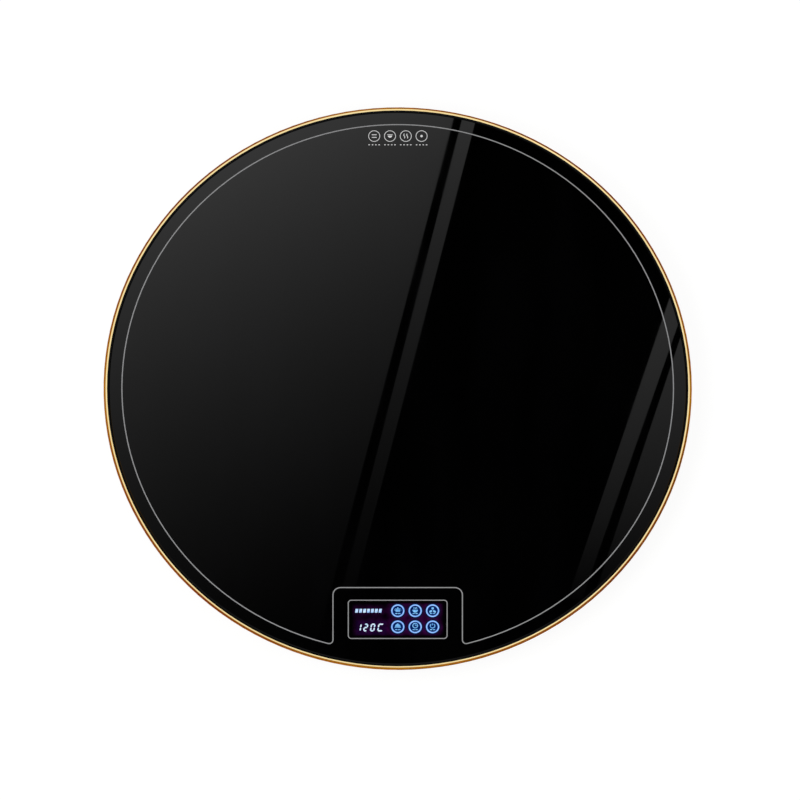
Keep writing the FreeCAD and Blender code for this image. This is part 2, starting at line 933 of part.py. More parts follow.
def inlet_body():
    """Inlet moulding: flange, body and the socket with two cut corners."""
    flange = rectangle(inlet_flange_width, inlet_flange_height, inlet_corner, (0.0, inlet_z))
    body = rectangle(inlet_body_width, inlet_body_height, 0, (0.0, inlet_z))
    half_x, half_z = inlet_socket_width / 2, inlet_socket_height / 2
    cut = inlet_socket_chamfer
    socket = [
        (-half_x, inlet_z - half_z, 1.0),
        (half_x, inlet_z - half_z, 1.0),
        (half_x, inlet_z + half_z - cut, 0),
        (half_x - cut, inlet_z + half_z, 0),
        (cut - half_x, inlet_z + half_z, 0),
        (-half_x, inlet_z + half_z - cut, 0),
    ]
    solid = fused([
        upright_slab(flange, inlet_wall, inlet_face),
        upright_slab(body, inlet_rear, inlet_wall),
    ])
    tools = [upright_slab(socket, inlet_face - inlet_socket_depth, inlet_face)]
    tools += [blade(place) for place in blade_places().values()]
    for x in (-inlet_screw_pitch / 2, inlet_screw_pitch / 2):
        hole = Part.makeCylinder(hole_radius, inlet_flange_thickness, Vector(x, inlet_wall, inlet_z), Vector(0, 1, 0))
        tools.append(hole)
    return without(solid, tools)


def inlet_screws():
    """Screws from behind the tray into nuts inside the wall."""
    length = inlet_flange_thickness + cover_wall + nut_height + tip_clearance
    shapes = []
    for x in (-inlet_screw_pitch / 2, inlet_screw_pitch / 2):
        piece = screw(length)
        piece.rotate(Vector(0, 0, 0), Vector(1, 0, 0), 90)
        piece.translate(Vector(x, inlet_face, inlet_z))
        shapes.append(piece)
    return Part.makeCompound(shapes)


def inlet_nuts():
    """Hexagon nuts inside the rear wall."""
    back = inlet_wall - cover_wall
    shapes = []
    for x in (-inlet_screw_pitch / 2, inlet_screw_pitch / 2):
        corners = [(x + a, inlet_z + b, 0) for a, b in around(6, nut_radius)]
        nut = upright_slab(corners, back - nut_height, back)
        bore = Part.makeCylinder(thread_radius, nut_height, Vector(x, back - nut_height, inlet_z), Vector(0, 1, 0))
        shapes.append(nut.cut(bore))
    return Part.makeCompound(shapes)


def on_board(place):
    """Place on the power board, from its middle and its front edge."""
    return place[0], board_front + place[1]


def power_board():
    """Power board with its screw holes."""
    half = board_width / 2
    board = box(-half, half, board_front, board_rear, z_board, z_board_top)
    return without(board, [rod(hole_radius, z_board, z_board_top, place) for place in board_hole_places()])


def transformer():
    """Ferrite core with its wound bobbin above."""
    core = block(transformer_size, on_board(transformer_place), z_board_top)
    bobbin = block(bobbin_size, on_board(transformer_place), z_board_top + transformer_size[2])
    return fused([core, bobbin])


def block_entries():
    """Wire entries of the terminal block, from left to right."""
    return [(index - 1.5) * block_pitch for index in range(4)]


def fuse():
    """Glass tube fuse with its metal caps, across the board."""
    x, y = on_board(fuse_place)
    start = Vector(x - fuse_length / 2, y, z_board_top + fuse_lift)
    return Part.makeCylinder(fuse_radius, fuse_length, start, Vector(1, 0, 0))


def fuse_clips():
    """Two clips that hold the fuse's caps."""
    x, y = on_board(fuse_place)
    shapes = []
    for side in (-1, 1):
        middle = x + side * (fuse_length - fuse_cap_length) / 2
        size = (clip_width, fuse_radius * 2 + 2, fuse_lift + 1)
        shapes.append(block(size, (middle, y), z_board_top).cut(fuse()))
    return Part.makeCompound(shapes)


def varistor():
    """Round lacquered disc standing on the board."""
    x, y = on_board(varistor_place)
    hub = Vector(x, y - varistor_thickness / 2, z_board_top + varistor_lift + varistor_radius)
    disc = Part.makeCylinder(varistor_radius, varistor_thickness, hub, Vector(0, 1, 0))
    leg = (varistor_radius, 1.0, varistor_lift + 1.0)
    return fused([disc, block(leg, (x, y), z_board_top)])


def front_socket(x, width):
    """Cable socket on the power board's front edge."""
    place = (x, board_front + socket_setback + socket_depth / 2)
    return block((width, socket_depth, socket_height), place, z_board_top)


def on_control(place):
    """Place on the control board, from the window's centre."""
    return place[0], window_y + place[1]


def control_board():
    """Control board with its screw holes."""
    size = (control_width, control_depth, control_thickness)
    board = block(size, (0.0, window_y), z_control)
    return without(board, [rod(hole_radius, z_control, z_control_top, place) for place in control_hole_places()])


def light_frame():
    """White frame that keeps the light of each symbol to itself."""
    frame = block((frame_width, frame_depth, z_mask - z_control_top), (0.0, window_y), z_control_top)
    tools = [rod(spring_radius + spring_room, z_control_top, z_mask, place) for place in key_places()]
    for size, place in ((display_size, display_place), (level_size, level_place)):
        width, depth, _ = size
        room = (width + 2 * frame_clearance, depth + 2 * frame_clearance, z_mask - z_control_top)
        tools.append(block(room, on_control(place), z_control_top))
    return without(frame, tools)


def icon_mask():
    """Printed film between the frame and the glass."""
    width = window_width + 2 * mask_margin_x
    depth = window_height + 2 * mask_margin_y
    return slab(rectangle(width, depth, window_radius, (0.0, window_y)), z_mask, z_glass)


def touch_springs():
    """Contact springs from the control board to the mask, as closed sleeves."""
    inner = spring_radius - spring_wall
    return Part.makeCompound([tube(spring_radius, inner, z_control_top, z_mask, place) for place in key_places()])


def key_leds():
    """One light in the middle of each key's spring."""
    return Part.makeCompound([block(led_size, place, z_control_top) for place in key_places()])


def board_sockets():
    """Cable sockets: two on the power board's front edge and one under the control board."""
    size = (socket_width, socket_depth, socket_height)
    return Part.makeCompound([
        front_socket(cable_x, socket_width),
        front_socket(0.0, sensor_socket_width),
        block(size, (cable_x, window_y + control_socket_place), z_control - socket_height),
    ])


def cable_ends():
    """Front and rear ends of the flat cable, in y."""
    return window_y + control_socket_place + socket_depth / 2, board_front + socket_setback


def flat_cable():
    """Flat cable from the control board, down to the floor and up to the power board."""
    half = cable_thickness / 2
    start, end = cable_ends()
    high = z_control - socket_height / 2
    low = z_floor + half
    rear = z_board_top + socket_height / 2
    line = [
        (start, high),
        (start + cable_lead, high),
        (start + cable_lead + cable_rise, low),
        (end - cable_lead - cable_rise, low),
        (end - cable_lead, rear),
        (end, rear),
    ]
    above = [(y, z + half, 0) for y, z in line]
    below = [(y, z - half, 0) for y, z in reversed(line)]
    x = cable_x - cable_width / 2
    face = outline(above + below, lambda y, z: Vector(x, y, z))
    return face.extrude(Vector(cable_width, 0, 0))


def cable_clips():
    """Saddles that hold the flat cable on the floor."""
    width = cable_width + 2 * (clip_clearance + clip_wall)
    height = cable_thickness + clip_clearance + clip_wall
    slot = (cable_width + 2 * clip_clearance, clip_length, cable_thickness + clip_clearance)
    margin = cable_lead + cable_rise + clip_inset
    start, end = cable_ends()
    pitch = (end - start - 2 * margin) / (clip_count - 1)
    shapes = []
    for index in range(clip_count):
        place = (cable_x, start + margin + index * pitch)
        saddle = block((width, clip_length, height), place, z_floor)
        shapes.append(saddle.cut(block(slot, place, z_floor)))
    return Part.makeCompound(shapes)


def earth_terminal():
    """Ring terminal under the shelf with its crimped barrel."""
    x, y = earth_place()
    ring = rod(ring_radius, z_shelf - ring_thickness, z_shelf, (x, y))
    start = Vector(x, y - ring_radius - barrel_length, z_shelf - barrel_radius)
    barrel = Part.makeCylinder(barrel_radius, barrel_length, start, Vector(0, 1, 0))
    tongue = box(x - barrel_radius, x + barrel_radius, y - ring_radius - 1, y, z_shelf - ring_thickness, z_shelf)
    whole = fused([ring, barrel, tongue])
    return whole.cut(rod(hole_radius, z_shelf - 2 * barrel_radius, z_shelf, (x, y)))


def mains_leads():
    """Wires from the inlet's tails to the terminal block and to the earth terminal."""
    tail = inlet_rear - blade_tail
    near = block_face + lead_stub
    far = tail - lead_stub
    entries = block_entries()
    places = blade_places()
    leads = {}
    for name, entry in (("live", entries[2]), ("neutral", entries[1])):
        x, z = places[name]
        route = [(x, tail, z), (x, far, z), (entry, near, block_z), (entry, block_face, block_z)]
        leads[name] = lead("lead_" + name, route, lead_radius)
    x, z = places["earth"]
    ring_x, ring_y = earth_place()
    end = ring_y - ring_radius - barrel_length
    high = z_shelf - barrel_radius
    route = [
        (x, tail, z),
        (x, tail - earth_loop, z),
        (ring_x - lead_radius, tail - earth_loop - lead_radius, (z + 2 * high) / 3),
        (ring_x, end - earth_loop, high),
        (ring_x, end, high),
    ]
    leads["earth"] = lead("lead_earth", route, lead_radius)
    return leads


def heater_leads():
    """Wires from the terminal block through the cutout to the live busbar, and to the neutral one."""
    entries = block_entries()
    tab_z = z_cutout_tab + cutout_tab_thickness / 2
    edge = -board_width / 2
    supply_x = cutout_x + cutout_tab_offset
    live_x = cutout_x - cutout_tab_offset
    high = z_terminal - lead_stub
    routes = {
        "supply": [
            (entries[0], block_face, block_z),
            (entries[0], block_face + lead_stub, block_z),
            (edge - supply_aisle, block_face + lead_stub, block_z),
            (edge - supply_aisle, board_front - supply_turn, block_z),
            (supply_x, board_front - supply_turn, tab_z),
            (supply_x, cutout_tab_end, tab_z),
        ],
        "live": [
            (live_x, cutout_tab_end, tab_z),
            (live_x, cutout_tab_end + live_turn, tab_z),
            (edge - live_aisle, cutout_tab_end + live_turn, tab_z),
            (edge - live_aisle, terminal_y, high),
            (-terminal_offset, terminal_y, high),
            (-terminal_offset, terminal_y, z_terminal),
        ],
        "neutral": [
            (entries[3], block_face, block_z),
            (entries[3], block_face + lead_stub, block_z),
            (terminal_offset, terminal_y, block_z),
            (terminal_offset, terminal_y, z_terminal),
        ],
    }
    return {name: lead("heater_lead_" + name, route, lead_radius) for name, route in routes.items()}


def sensor_lead():
    """Twin wire from the sensor's plug to the power board."""
    z = z_plate - plug_lip_height / 2
    end = board_front + socket_setback
    high = z_board_top + socket_height / 2
    route = [
        (0, plug_lip_radius, z),
        (0, end / 2, z),
        (0, end - 2 * lead_stub, high),
        (0, end, high),
    ]
    return lead("sensor_lead", route, sensor_lead_radius)


def busbar_terminals():
    """Crimped terminals under the rear ends of the busbars."""
    size = (terminal_size, terminal_size, terminal_height)
    places = [(x, terminal_y) for x in (-terminal_offset, terminal_offset)]
    return Part.makeCompound([block(size, place, z_terminal) for place in places])


def tray():
    """Every piece of the tray by name."""
    parts = {
        "zone_print": zone_print(),
        "window_print": window_print(),
        "key_print": key_print(),
    }
    parts["glass_top"] = glass_top(list(parts.values()))
    parts["glass_seal"] = glass_seal()
    parts["rim_ring"] = rim_ring()
    parts["bottom_cover"] = bottom_cover()
    length = cover_wall + shelf_thickness - tip_clearance
    parts["cover_screws"] = screws_up(cover_screw_places(), z_flange, length)
    feet = around(foot_count, foot_circle)
    for index, place in enumerate(feet):
        parts[f"foot_{index + 1}"] = foot(place)
    seat = foot_height - foot_grip
    parts["foot_screws"] = screws_up(feet, seat, foot_grip + foot_screw_length - tip_clearance)

    parts["heater_film"] = heater_film()
    parts["busbars"] = busbars()
    parts["heater_tracks"] = heater_tracks()
    parts["busbar_terminals"] = busbar_terminals()
    parts["insulation_blanket"] = insulation_blanket()
    parts["reflector_plate"] = reflector_plate()
    parts["post_screws"] = post_screws()
    parts["sensor_plug"] = sensor_plug()
    parts["temperature_sensor"] = temperature_sensor()
    parts["thermal_cutout"] = thermal_cutout()
    parts["cutout_rivets"] = cutout_rivets()

    parts["inlet_body"] = inlet_body()
    parts["inlet_blades"] = Part.makeCompound([blade(place) for place in blade_places().values()])
    parts["inlet_screws"] = inlet_screws()
    parts["inlet_nuts"] = inlet_nuts()

    parts["power_board"] = power_board()
    parts["relay"] = block(relay_size, on_board(relay_place), z_board_top)
    parts["transformer"] = transformer()
    parts["filter_capacitor"] = block(filter_capacitor_size, on_board(filter_capacitor_place), z_board_top)
    height = z_board_top + smoothing_capacitor_height
    place = on_board(smoothing_capacitor_place)
    parts["smoothing_capacitor"] = rod(smoothing_capacitor_radius, z_board_top, height, place)
    parts["fuse"] = fuse()
    parts["fuse_clips"] = fuse_clips()
    parts["varistor"] = varistor()
    parts["terminal_block"] = block(block_size, on_board(block_place), z_board_top)
    parts["board_sockets"] = board_sockets()

    parts["control_board"] = control_board()
    parts["light_frame"] = light_frame()
    parts["icon_mask"] = icon_mask()
    parts["display_module"] = block(display_size, on_control(display_place), z_control_top)
    parts["level_light"] = block(level_size, on_control(level_place), z_control_top)
    parts["touch_springs"] = touch_springs()
    parts["key_leds"] = key_leds()
    parts["control_chip"] = block(chip_size, on_control(chip_place), z_control - chip_size[2])
    parts["buzzer"] = rod(buzzer_radius, z_control - buzzer_height, z_control, on_control(buzzer_place))

    parts["flat_cable"] = flat_cable()
    parts["cable_clips"] = cable_clips()
    parts["earth_terminal"] = earth_terminal()
    length = ring_thickness + shelf_thickness - tip_clearance
    parts["earth_screw"] = screws_up([earth_place()], z_shelf - ring_thickness, length)
    for name, solid in mains_leads().items():
        parts["lead_" + name] = solid
    for name, solid in heater_leads().items():
        parts["heater_lead_" + name] = solid
    parts["sensor_lead"] = sensor_lead()
    return parts


os.makedirs("parts", exist_ok=True)
for part_name, part_shape in tray().items():
    part_shape.exportStep(f"parts/{part_name}.step")
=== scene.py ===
import json
import math

import bmesh
import bpy
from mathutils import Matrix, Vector

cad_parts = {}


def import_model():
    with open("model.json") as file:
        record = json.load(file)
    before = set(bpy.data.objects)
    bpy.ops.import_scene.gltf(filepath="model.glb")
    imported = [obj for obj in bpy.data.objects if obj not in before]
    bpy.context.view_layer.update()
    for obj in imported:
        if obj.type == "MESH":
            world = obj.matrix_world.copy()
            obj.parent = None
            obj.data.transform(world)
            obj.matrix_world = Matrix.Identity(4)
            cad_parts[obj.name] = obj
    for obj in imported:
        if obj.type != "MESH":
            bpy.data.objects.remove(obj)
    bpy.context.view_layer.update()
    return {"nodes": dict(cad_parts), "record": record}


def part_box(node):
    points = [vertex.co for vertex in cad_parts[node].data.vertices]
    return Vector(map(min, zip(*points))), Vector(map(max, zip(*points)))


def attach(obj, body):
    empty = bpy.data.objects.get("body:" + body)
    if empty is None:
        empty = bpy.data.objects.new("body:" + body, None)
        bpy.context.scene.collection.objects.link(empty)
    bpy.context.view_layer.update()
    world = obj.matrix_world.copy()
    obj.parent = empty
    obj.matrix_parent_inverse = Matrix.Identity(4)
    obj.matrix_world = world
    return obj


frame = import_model()

# Units and the frame's own places, in metres
MM = 0.001
glass_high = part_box("glass_top")[1]
window_low, window_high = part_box("window_print")
keys_low, keys_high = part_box("key_print")
display_low, display_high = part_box("display_module")
level_low, level_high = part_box("level_light")
rim_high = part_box("rim_ring")[1]
glass_top_z = glass_high.z
display_centre = (display_low + display_high) / 2
level_centre = (level_low + level_high) / 2

# Touch keys, three across and two deep
KEY_COLUMNS = 3
KEY_ROWS = 2
KEY_PITCH_X = 17.75 * MM
KEY_PITCH_Y = 17.2 * MM
KEY_LINE = 1.7 * MM
key_radius = (keys_high.x - keys_low.x - (KEY_COLUMNS - 1) * KEY_PITCH_X) / 2
key_first = Vector((keys_low.x + key_radius, keys_high.y - key_radius))
key_places = [
    key_first + Vector((column * KEY_PITCH_X, -row * KEY_PITCH_Y))
    for row in range(KEY_ROWS)
    for column in range(KEY_COLUMNS)
]

# Raised prints and lit shapes on the glass
PRINT_HEIGHT = 0.05 * MM
ARC_STEP = math.radians(7.5)

# Camera, placed to give the photograph's angle and frame
CAMERA_ELEVATION = math.radians(72.98)
CAMERA_SPAN = 0.8159
CAMERA_AIM = Vector((0.00236, -0.01258, 0.0403))
CAMERA_DISTANCE = 2.0

# What materials share: plain colours, the range that most noise lies in, and the refraction of coatings
BLACK = (0.0, 0.0, 0.0)
WHITE = (1.0, 1.0, 1.0)
NOISE_SPAN = (0.3, 0.7)
FINE_NOISE_SPAN = (0.25, 0.75)
FINE_GRAIN = 0.6 * MM
FINE_DEPTH = 0.02 * MM
REFRACTION = 1.5


# Node trees

def put(tree, kind, values=(), **settings):
    """A shader node with its inputs set by name from numbers, colours or other nodes' sockets."""
    node = tree.nodes.new("ShaderNode" + kind)
    for key, value in settings.items():
        setattr(node, key, value)
    for name, value in dict(values).items():
        join(tree, node.inputs[name], value)
    return node


def join(tree, socket, value):
    """Sets a socket, or links it where the value is another node's socket."""
    if isinstance(value, bpy.types.NodeSocket):
        tree.links.new(value, socket)
    elif isinstance(value, tuple) and len(value) == 3 and socket.type == "RGBA":
        socket.default_value = (*value, 1.0)
    else:
        socket.default_value = value


def cleared(owner):
    """The emptied node tree of a new material or world."""
    owner.use_nodes = True
    owner.node_tree.nodes.clear()
    return owner.node_tree


def maths(tree, operation, first, second=0.0):
    """One step of arithmetic."""
    return put(tree, "Math", {0: first, 1: second}, operation=operation).outputs[0]


def plus(tree, first, second):
    """Two values added."""
    return maths(tree, "ADD", first, second)


def minus(tree, first, second):
    """The first value less the second."""
    return maths(tree, "SUBTRACT", first, second)


def times(tree, first, second):
    """Two values multiplied."""
    return maths(tree, "MULTIPLY", first, second)


def length(tree, x, y):
    """Length of a flat vector."""
    return maths(tree, "SQRT", plus(tree, times(tree, x, x), times(tree, y, y)))


def between(tree, value, start, end, low=0.0, high=1.0):
    """A smooth step from low to high as the value goes from start to end."""
    values = {"Value": value, "From Min": start, "From Max": end, "To Min": low, "To Max": high}
    return put(tree, "MapRange", values, interpolation_type="SMOOTHSTEP").outputs[0]


def about(middle, offsets):
    """Where a blend starts and ends, from its offsets about a middle."""
    return [middle + offset for offset in offsets]


def blended(tree, share, first, second):
    """A colour between two colours."""
    mix = put(tree, "Mix", {0: share, 6: first, 7: second}, data_type="RGBA")
    return mix.outputs[2]


def object_place(tree):
    """The place on the object."""
    return put(tree, "TexCoord").outputs["Object"]


def parts(tree, place):
    """The three coordinates of a place."""
    return put(tree, "SeparateXYZ", {0: place}).outputs


def noise(tree, place, size, detail=2.0, rough=0.5):
    """Noise whose blotches are about the given size, in metres."""
    values = {"Vector": place, "Scale": 1 / size, "Detail": detail, "Roughness": rough}
    return put(tree, "TexNoise", values).outputs[0]


def stretched(tree, place, scale):
    """A place scaled along each axis."""
    return put(tree, "Mapping", {"Vector": place, "Scale": scale}).outputs[0]


def bumped(tree, height, depth):
    """A normal from a height map, with the depth in metres."""
    return put(tree, "Bump", {"Height": height, "Distance": depth, "Strength": 1.0}).outputs[0]


class Surface:
    """A principled material: its tree, its shader and the place on the object."""

    def __init__(self, name, metal=0.0):
        self.material = bpy.data.materials.new(name)
        self.tree = cleared(self.material)
        self.shader = put(self.tree, "BsdfPrincipled", {"Metallic": metal, "IOR": REFRACTION})
        self.out = put(self.tree, "OutputMaterial")
        self.tree.links.new(self.shader.outputs[0], self.out.inputs[0])
        self.place = object_place(self.tree)

    def set(self, **values):
        """Sets the shader's inputs, with underscores for the spaces in their names."""
        for name, value in values.items():
            join(self.tree, self.shader.inputs[name.replace("_", " ")], value)
        return self.material


def mottled(
    name, tones, rough, blotch, grain=FINE_GRAIN, depth=FINE_DEPTH, metal=0.0, stretch=(1, 1, 1), shine=0.5
):
    """A surface of two tones in soft blotches, with a fine grain that moves its gloss and height."""
    surface = Surface(name, metal)
    tree = surface.tree
    place = stretched(tree, surface.place, stretch)
    broad = noise(tree, place, blotch, detail=3.0)
    fine = noise(tree, place, grain, detail=4.0, rough=0.6)
    return surface.set(
        Base_Color=blended(tree, between(tree, broad, *NOISE_SPAN), *tones),
        Roughness=between(tree, fine, *FINE_NOISE_SPAN, *rough),
        Normal=bumped(tree, fine, depth),
        Specular_IOR_Level=shine,
    )


# Black glass and the marks of wiping on it
GLASS_TONES = ((0.0002, 0.0002, 0.0002), (0.0006, 0.0006, 0.0007))
WIPE_STRETCH = (1.0, 0.25, 1.0)
SMUDGE_SIZE = 50 * MM
SMUDGE_TONE_SPAN = (0.35, 0.7)
SMUDGE_ROUGH_SPAN = (0.35, 0.75)
SMUDGE_ROUGH = (0.006, 0.014)
SPECK_SIZE = 1.5 * MM
SPECK_SPAN = (0.6, 0.8)
SPECK_ROUGH = (0.0, 0.004)


def black_glass():
    """Black glass with a trace of wiping marks, and the window's light showing through it."""
    surface = Surface("black_glass")
    tree = surface.tree
    wiped = stretched(tree, surface.place, WIPE_STRETCH)
    smudge = noise(tree, wiped, SMUDGE_SIZE, detail=4.0, rough=0.55)
    speck = noise(tree, surface.place, SPECK_SIZE)
    smeared = between(tree, smudge, *SMUDGE_ROUGH_SPAN, *SMUDGE_ROUGH)
    specked = between(tree, speck, *SPECK_SPAN, *SPECK_ROUGH)
    return surface.set(
        Base_Color=blended(tree, between(tree, smudge, *SMUDGE_TONE_SPAN), *GLASS_TONES),
        Roughness=plus(tree, smeared, specked),
        Emission_Color=window_light(tree, surface.place),
        Emission_Strength=1.0,
    )


# Light that leaks through the glass round the keys and the displays
KEY_DISC_EDGE = (0.8 * MM, -1.2 * MM)
KEY_FRINGE_EDGE = (2.2 * MM, 0.8 * MM)
KEY_HALO_REACH = (14.5 * MM, 6.0 * MM)
DISPLAY_HALO_SPREAD = 7.0 * MM
DISPLAY_HALO_SHARE = 0.65
DISPLAY_NAVY_SPREAD = 1.6 * MM
DISPLAY_NAVY_SHARE = 0.2
HALO_LIMIT = 1.3
HALO_PATCH_SIZE = 6.0 * MM
HALO_PATCH_LEVELS = (0.45, 1.1)
WINDOW_MARGIN_X = 2.4 * MM
WINDOW_MARGIN_Y = 2.0 * MM
WINDOW_FADE_END = 2.5
UNLIT_GLOW = (0.0002, 0.0, 0.0004)
HALO_GLOW = (0.030, 0.0010, 0.037)
NAVY_GLOW = (0.002, 0.002, 0.040)
FRINGE_GLOW = (0.006, 0.005, 0.024)
KEY_DISC_GLOW = (0.0, 0.014, 0.11)


def key_reaches(tree, place):
    """Distance from the middle of each key."""
    x, y, _ = parts(tree, place)
    return [length(tree, minus(tree, x, key.x), minus(tree, y, key.y)) for key in key_places]


def off_middle(tree, value, start, end):
    """Distance from the middle between two limits."""
    return maths(tree, "ABSOLUTE", minus(tree, value, (start + end) / 2))


def glow_round(tree, x, y, low, high, spread):
    """Soft light that spreads past the sides of a rectangle."""
    shares = []
    for value, start, end in ((x, low.x, high.x), (y, low.y, high.y)):
        half = (end - start) / 2
        shares.append(between(tree, off_middle(tree, value, start, end), half + spread, half - spread / 2))
    return times(tree, *shares)


def edge_fade(tree, value, start, end, margin):
    """One between two limits and none outside them, fading within a few margins of each."""
    half = (end - start) / 2
    off = off_middle(tree, value, start, end)
    return between(tree, off, half - margin, half - WINDOW_FADE_END * margin)


def window_light(tree, place):
    """Colour of the light that leaks through the glass round the keys and the displays."""
    x, y, _ = parts(tree, place)
    discs, halo, fringe, navy = 0.0, 0.0, 0.0, 0.0
    for reach in key_reaches(tree, place):
        discs = plus(tree, between(tree, reach, *about(key_radius - KEY_LINE, KEY_DISC_EDGE)), discs)
        fringe = plus(tree, between(tree, reach, *about(key_radius, KEY_FRINGE_EDGE)), fringe)
        halo = plus(tree, between(tree, reach, *KEY_HALO_REACH), halo)
    for low, high in ((display_low, display_high), (level_low, level_high)):
        wide = glow_round(tree, x, y, low, high, DISPLAY_HALO_SPREAD)
        halo = plus(tree, times(tree, wide, DISPLAY_HALO_SHARE), halo)
        navy = plus(tree, glow_round(tree, x, y, low, high, DISPLAY_NAVY_SPREAD), navy)
    inside = times(
        tree,
        edge_fade(tree, x, window_low.x, window_high.x, WINDOW_MARGIN_X),
        edge_fade(tree, y, window_low.y, window_high.y, WINDOW_MARGIN_Y),
    )
    patch = noise(tree, place, HALO_PATCH_SIZE)
    halo = times(tree, halo, between(tree, patch, *NOISE_SPAN, *HALO_PATCH_LEVELS))
    halo = times(tree, maths(tree, "MINIMUM", halo, HALO_LIMIT), inside)
    glow = blended(tree, halo, UNLIT_GLOW, HALO_GLOW)
    glow = blended(tree, times(tree, navy, DISPLAY_NAVY_SHARE), glow, NAVY_GLOW)
    glow = blended(tree, maths(tree, "MINIMUM", fringe, 1.0), glow, FRINGE_GLOW)
    glow = blended(tree, inside, BLACK, glow)
    return blended(tree, discs, glow, KEY_DISC_GLOW)


# Rim: a bright cut inner band and a rougher outer one, whose darker, redder tone is a painted dark
# reflection, with the fine lines of a lathe
OUTER_BAND = 2.0 * MM
BAND_TONE_EDGE = (-0.3 * MM, 0.1 * MM)
BAND_ROUGH_EDGE = (-0.3 * MM, 0.3 * MM)
BAND_ROUGH = (0.14, 0.24)
INNER_BAND_TONES = ((0.99, 0.80, 0.40), (0.95, 0.73, 0.34))
# Outer band tones: a painted dark reflection, darker and redder than the gold of the inner band
OUTER_BAND_PAINTED_DARK_TONES = ((0.47, 0.175, 0.006), (0.25, 0.045, 0.003))
DIAGONAL_DARKENING = 0.9
WAVE_RED = (-0.1, 0.15)
WAVE_SIZE = 60 * MM
WAVE_SPAN = (0.35, 0.7)
LATHE_LINES = 9000.0
LATHE_TURN = 6.0
LATHE_ROUGH = (-0.03, 0.05)
LATHE_DEPTH = 0.004 * MM
RIM_EDGE_TINT = (0.85, 0.45, 0.18)


def gold_rim():
    """Anodised rim turned on a lathe, whose outer band is painted darker and redder as a dark reflection,
    most of all on the diagonals.
    """
    surface = Surface("gold_rim", metal=1.0)
    tree = surface.tree
    x, y, z = parts(tree, surface.place)
    radius = length(tree, x, y)
    turn = maths(tree, "ARCTAN2", y, x)
    lines = put(tree, "CombineXYZ", {
        0: times(tree, radius, LATHE_LINES),
        1: times(tree, z, LATHE_LINES),
        2: times(tree, turn, LATHE_TURN),
    }).outputs[0]
    cut = noise(tree, lines, 1.0, detail=3.0)
    wave = noise(tree, surface.place, WAVE_SIZE)
    diagonal = maths(tree, "ABSOLUTE", maths(tree, "SINE", times(tree, turn, 2.0)))
    outer_dark_share = plus(tree, times(tree, diagonal, DIAGONAL_DARKENING), between(tree, wave, *WAVE_SPAN, *WAVE_RED))
    # Painted dark reflection on the outer band, deepest on the diagonals
    outer = blended(tree, outer_dark_share, *OUTER_BAND_PAINTED_DARK_TONES)
    inner = blended(tree, between(tree, wave, *WAVE_SPAN), *INNER_BAND_TONES)
    band_radius = rim_high.x - OUTER_BAND
    rough = between(tree, radius, *about(band_radius, BAND_ROUGH_EDGE), *BAND_ROUGH)
    return surface.set(
        Base_Color=blended(tree, between(tree, radius, *about(band_radius, BAND_TONE_EDGE)), inner, outer),
        Roughness=plus(tree, rough, between(tree, cut, *NOISE_SPAN, *LATHE_ROUGH)),
        Normal=bumped(tree, cut, LATHE_DEPTH),
        Specular_Tint=RIM_EDGE_TINT,
    )


# Fired enamel of the printed lines and marks
ENAMEL_DULL = 0.88
GREY_ENAMEL = (0.26, 0.26, 0.265)
PALE_ENAMEL = (0.70, 0.70, 0.70)


def enamel(name, tone):
    """Fired print: a pale grit of glass frit."""
    dull = tuple(ENAMEL_DULL * part for part in tone)
    return mottled(
        name, tones=(dull, tone), rough=(0.32, 0.48), blotch=4 * MM, grain=0.4 * MM, depth=0.01 * MM
    )


# Lit prints: how they look unlit, and how unevenly the lamps light them
UNLIT_TONES = ((0.010, 0.014, 0.030), (0.020, 0.028, 0.050))
LIT_ROUGH = (0.10, 0.22)
LIT_GRAIN = 0.4 * MM
LIT_PATCH_SIZE = 2.5 * MM
LIT_PATCH_SPAN = (0.3, 0.72)
RING_PATCH_SIZE = 3.0 * MM
RING_PATCH_LEVELS = (0.75, 1.0)
RING_FADE = (0.95 * MM, 0.15 * MM)
RING_TONES = ((0.004, 0.060, 0.30), (0.19, 0.35, 0.62))
RING_STRENGTH = 0.95


def lit_shape(name, edge, colour, strength):
    """Light through a printed mask, a little uneven from its lamps."""
    surface = Surface(name)
    tree = surface.tree
    uneven = noise(tree, surface.place, LIT_PATCH_SIZE)
    grain = noise(tree, surface.place, LIT_GRAIN)
    share = between(tree, uneven, *LIT_PATCH_SPAN)
    return surface.set(
        Base_Color=blended(tree, share, *UNLIT_TONES),
        Roughness=between(tree, grain, *NOISE_SPAN, *LIT_ROUGH),
        Emission_Color=blended(tree, share, edge, colour),
        Emission_Strength=strength,
    )


def key_rings():
    """Lit key rings, brightest along the middle of their line."""
    surface = Surface("key_glow")
    tree = surface.tree
    nearest, *others = key_reaches(tree, surface.place)
    for reach in others:
        nearest = maths(tree, "MINIMUM", nearest, reach)
    off = maths(tree, "ABSOLUTE", minus(tree, nearest, key_radius - KEY_LINE / 2))
    uneven = noise(tree, surface.place, RING_PATCH_SIZE)
    level = between(tree, uneven, *NOISE_SPAN, *RING_PATCH_LEVELS)
    colour = blended(tree, times(tree, between(tree, off, *RING_FADE), level), *RING_TONES)
    return surface.set(
        Base_Color=colour,
        Roughness=between(tree, uneven, *NOISE_SPAN, *LIT_ROUGH),
        Emission_Color=colour,
        Emission_Strength=RING_STRENGTH,
    )


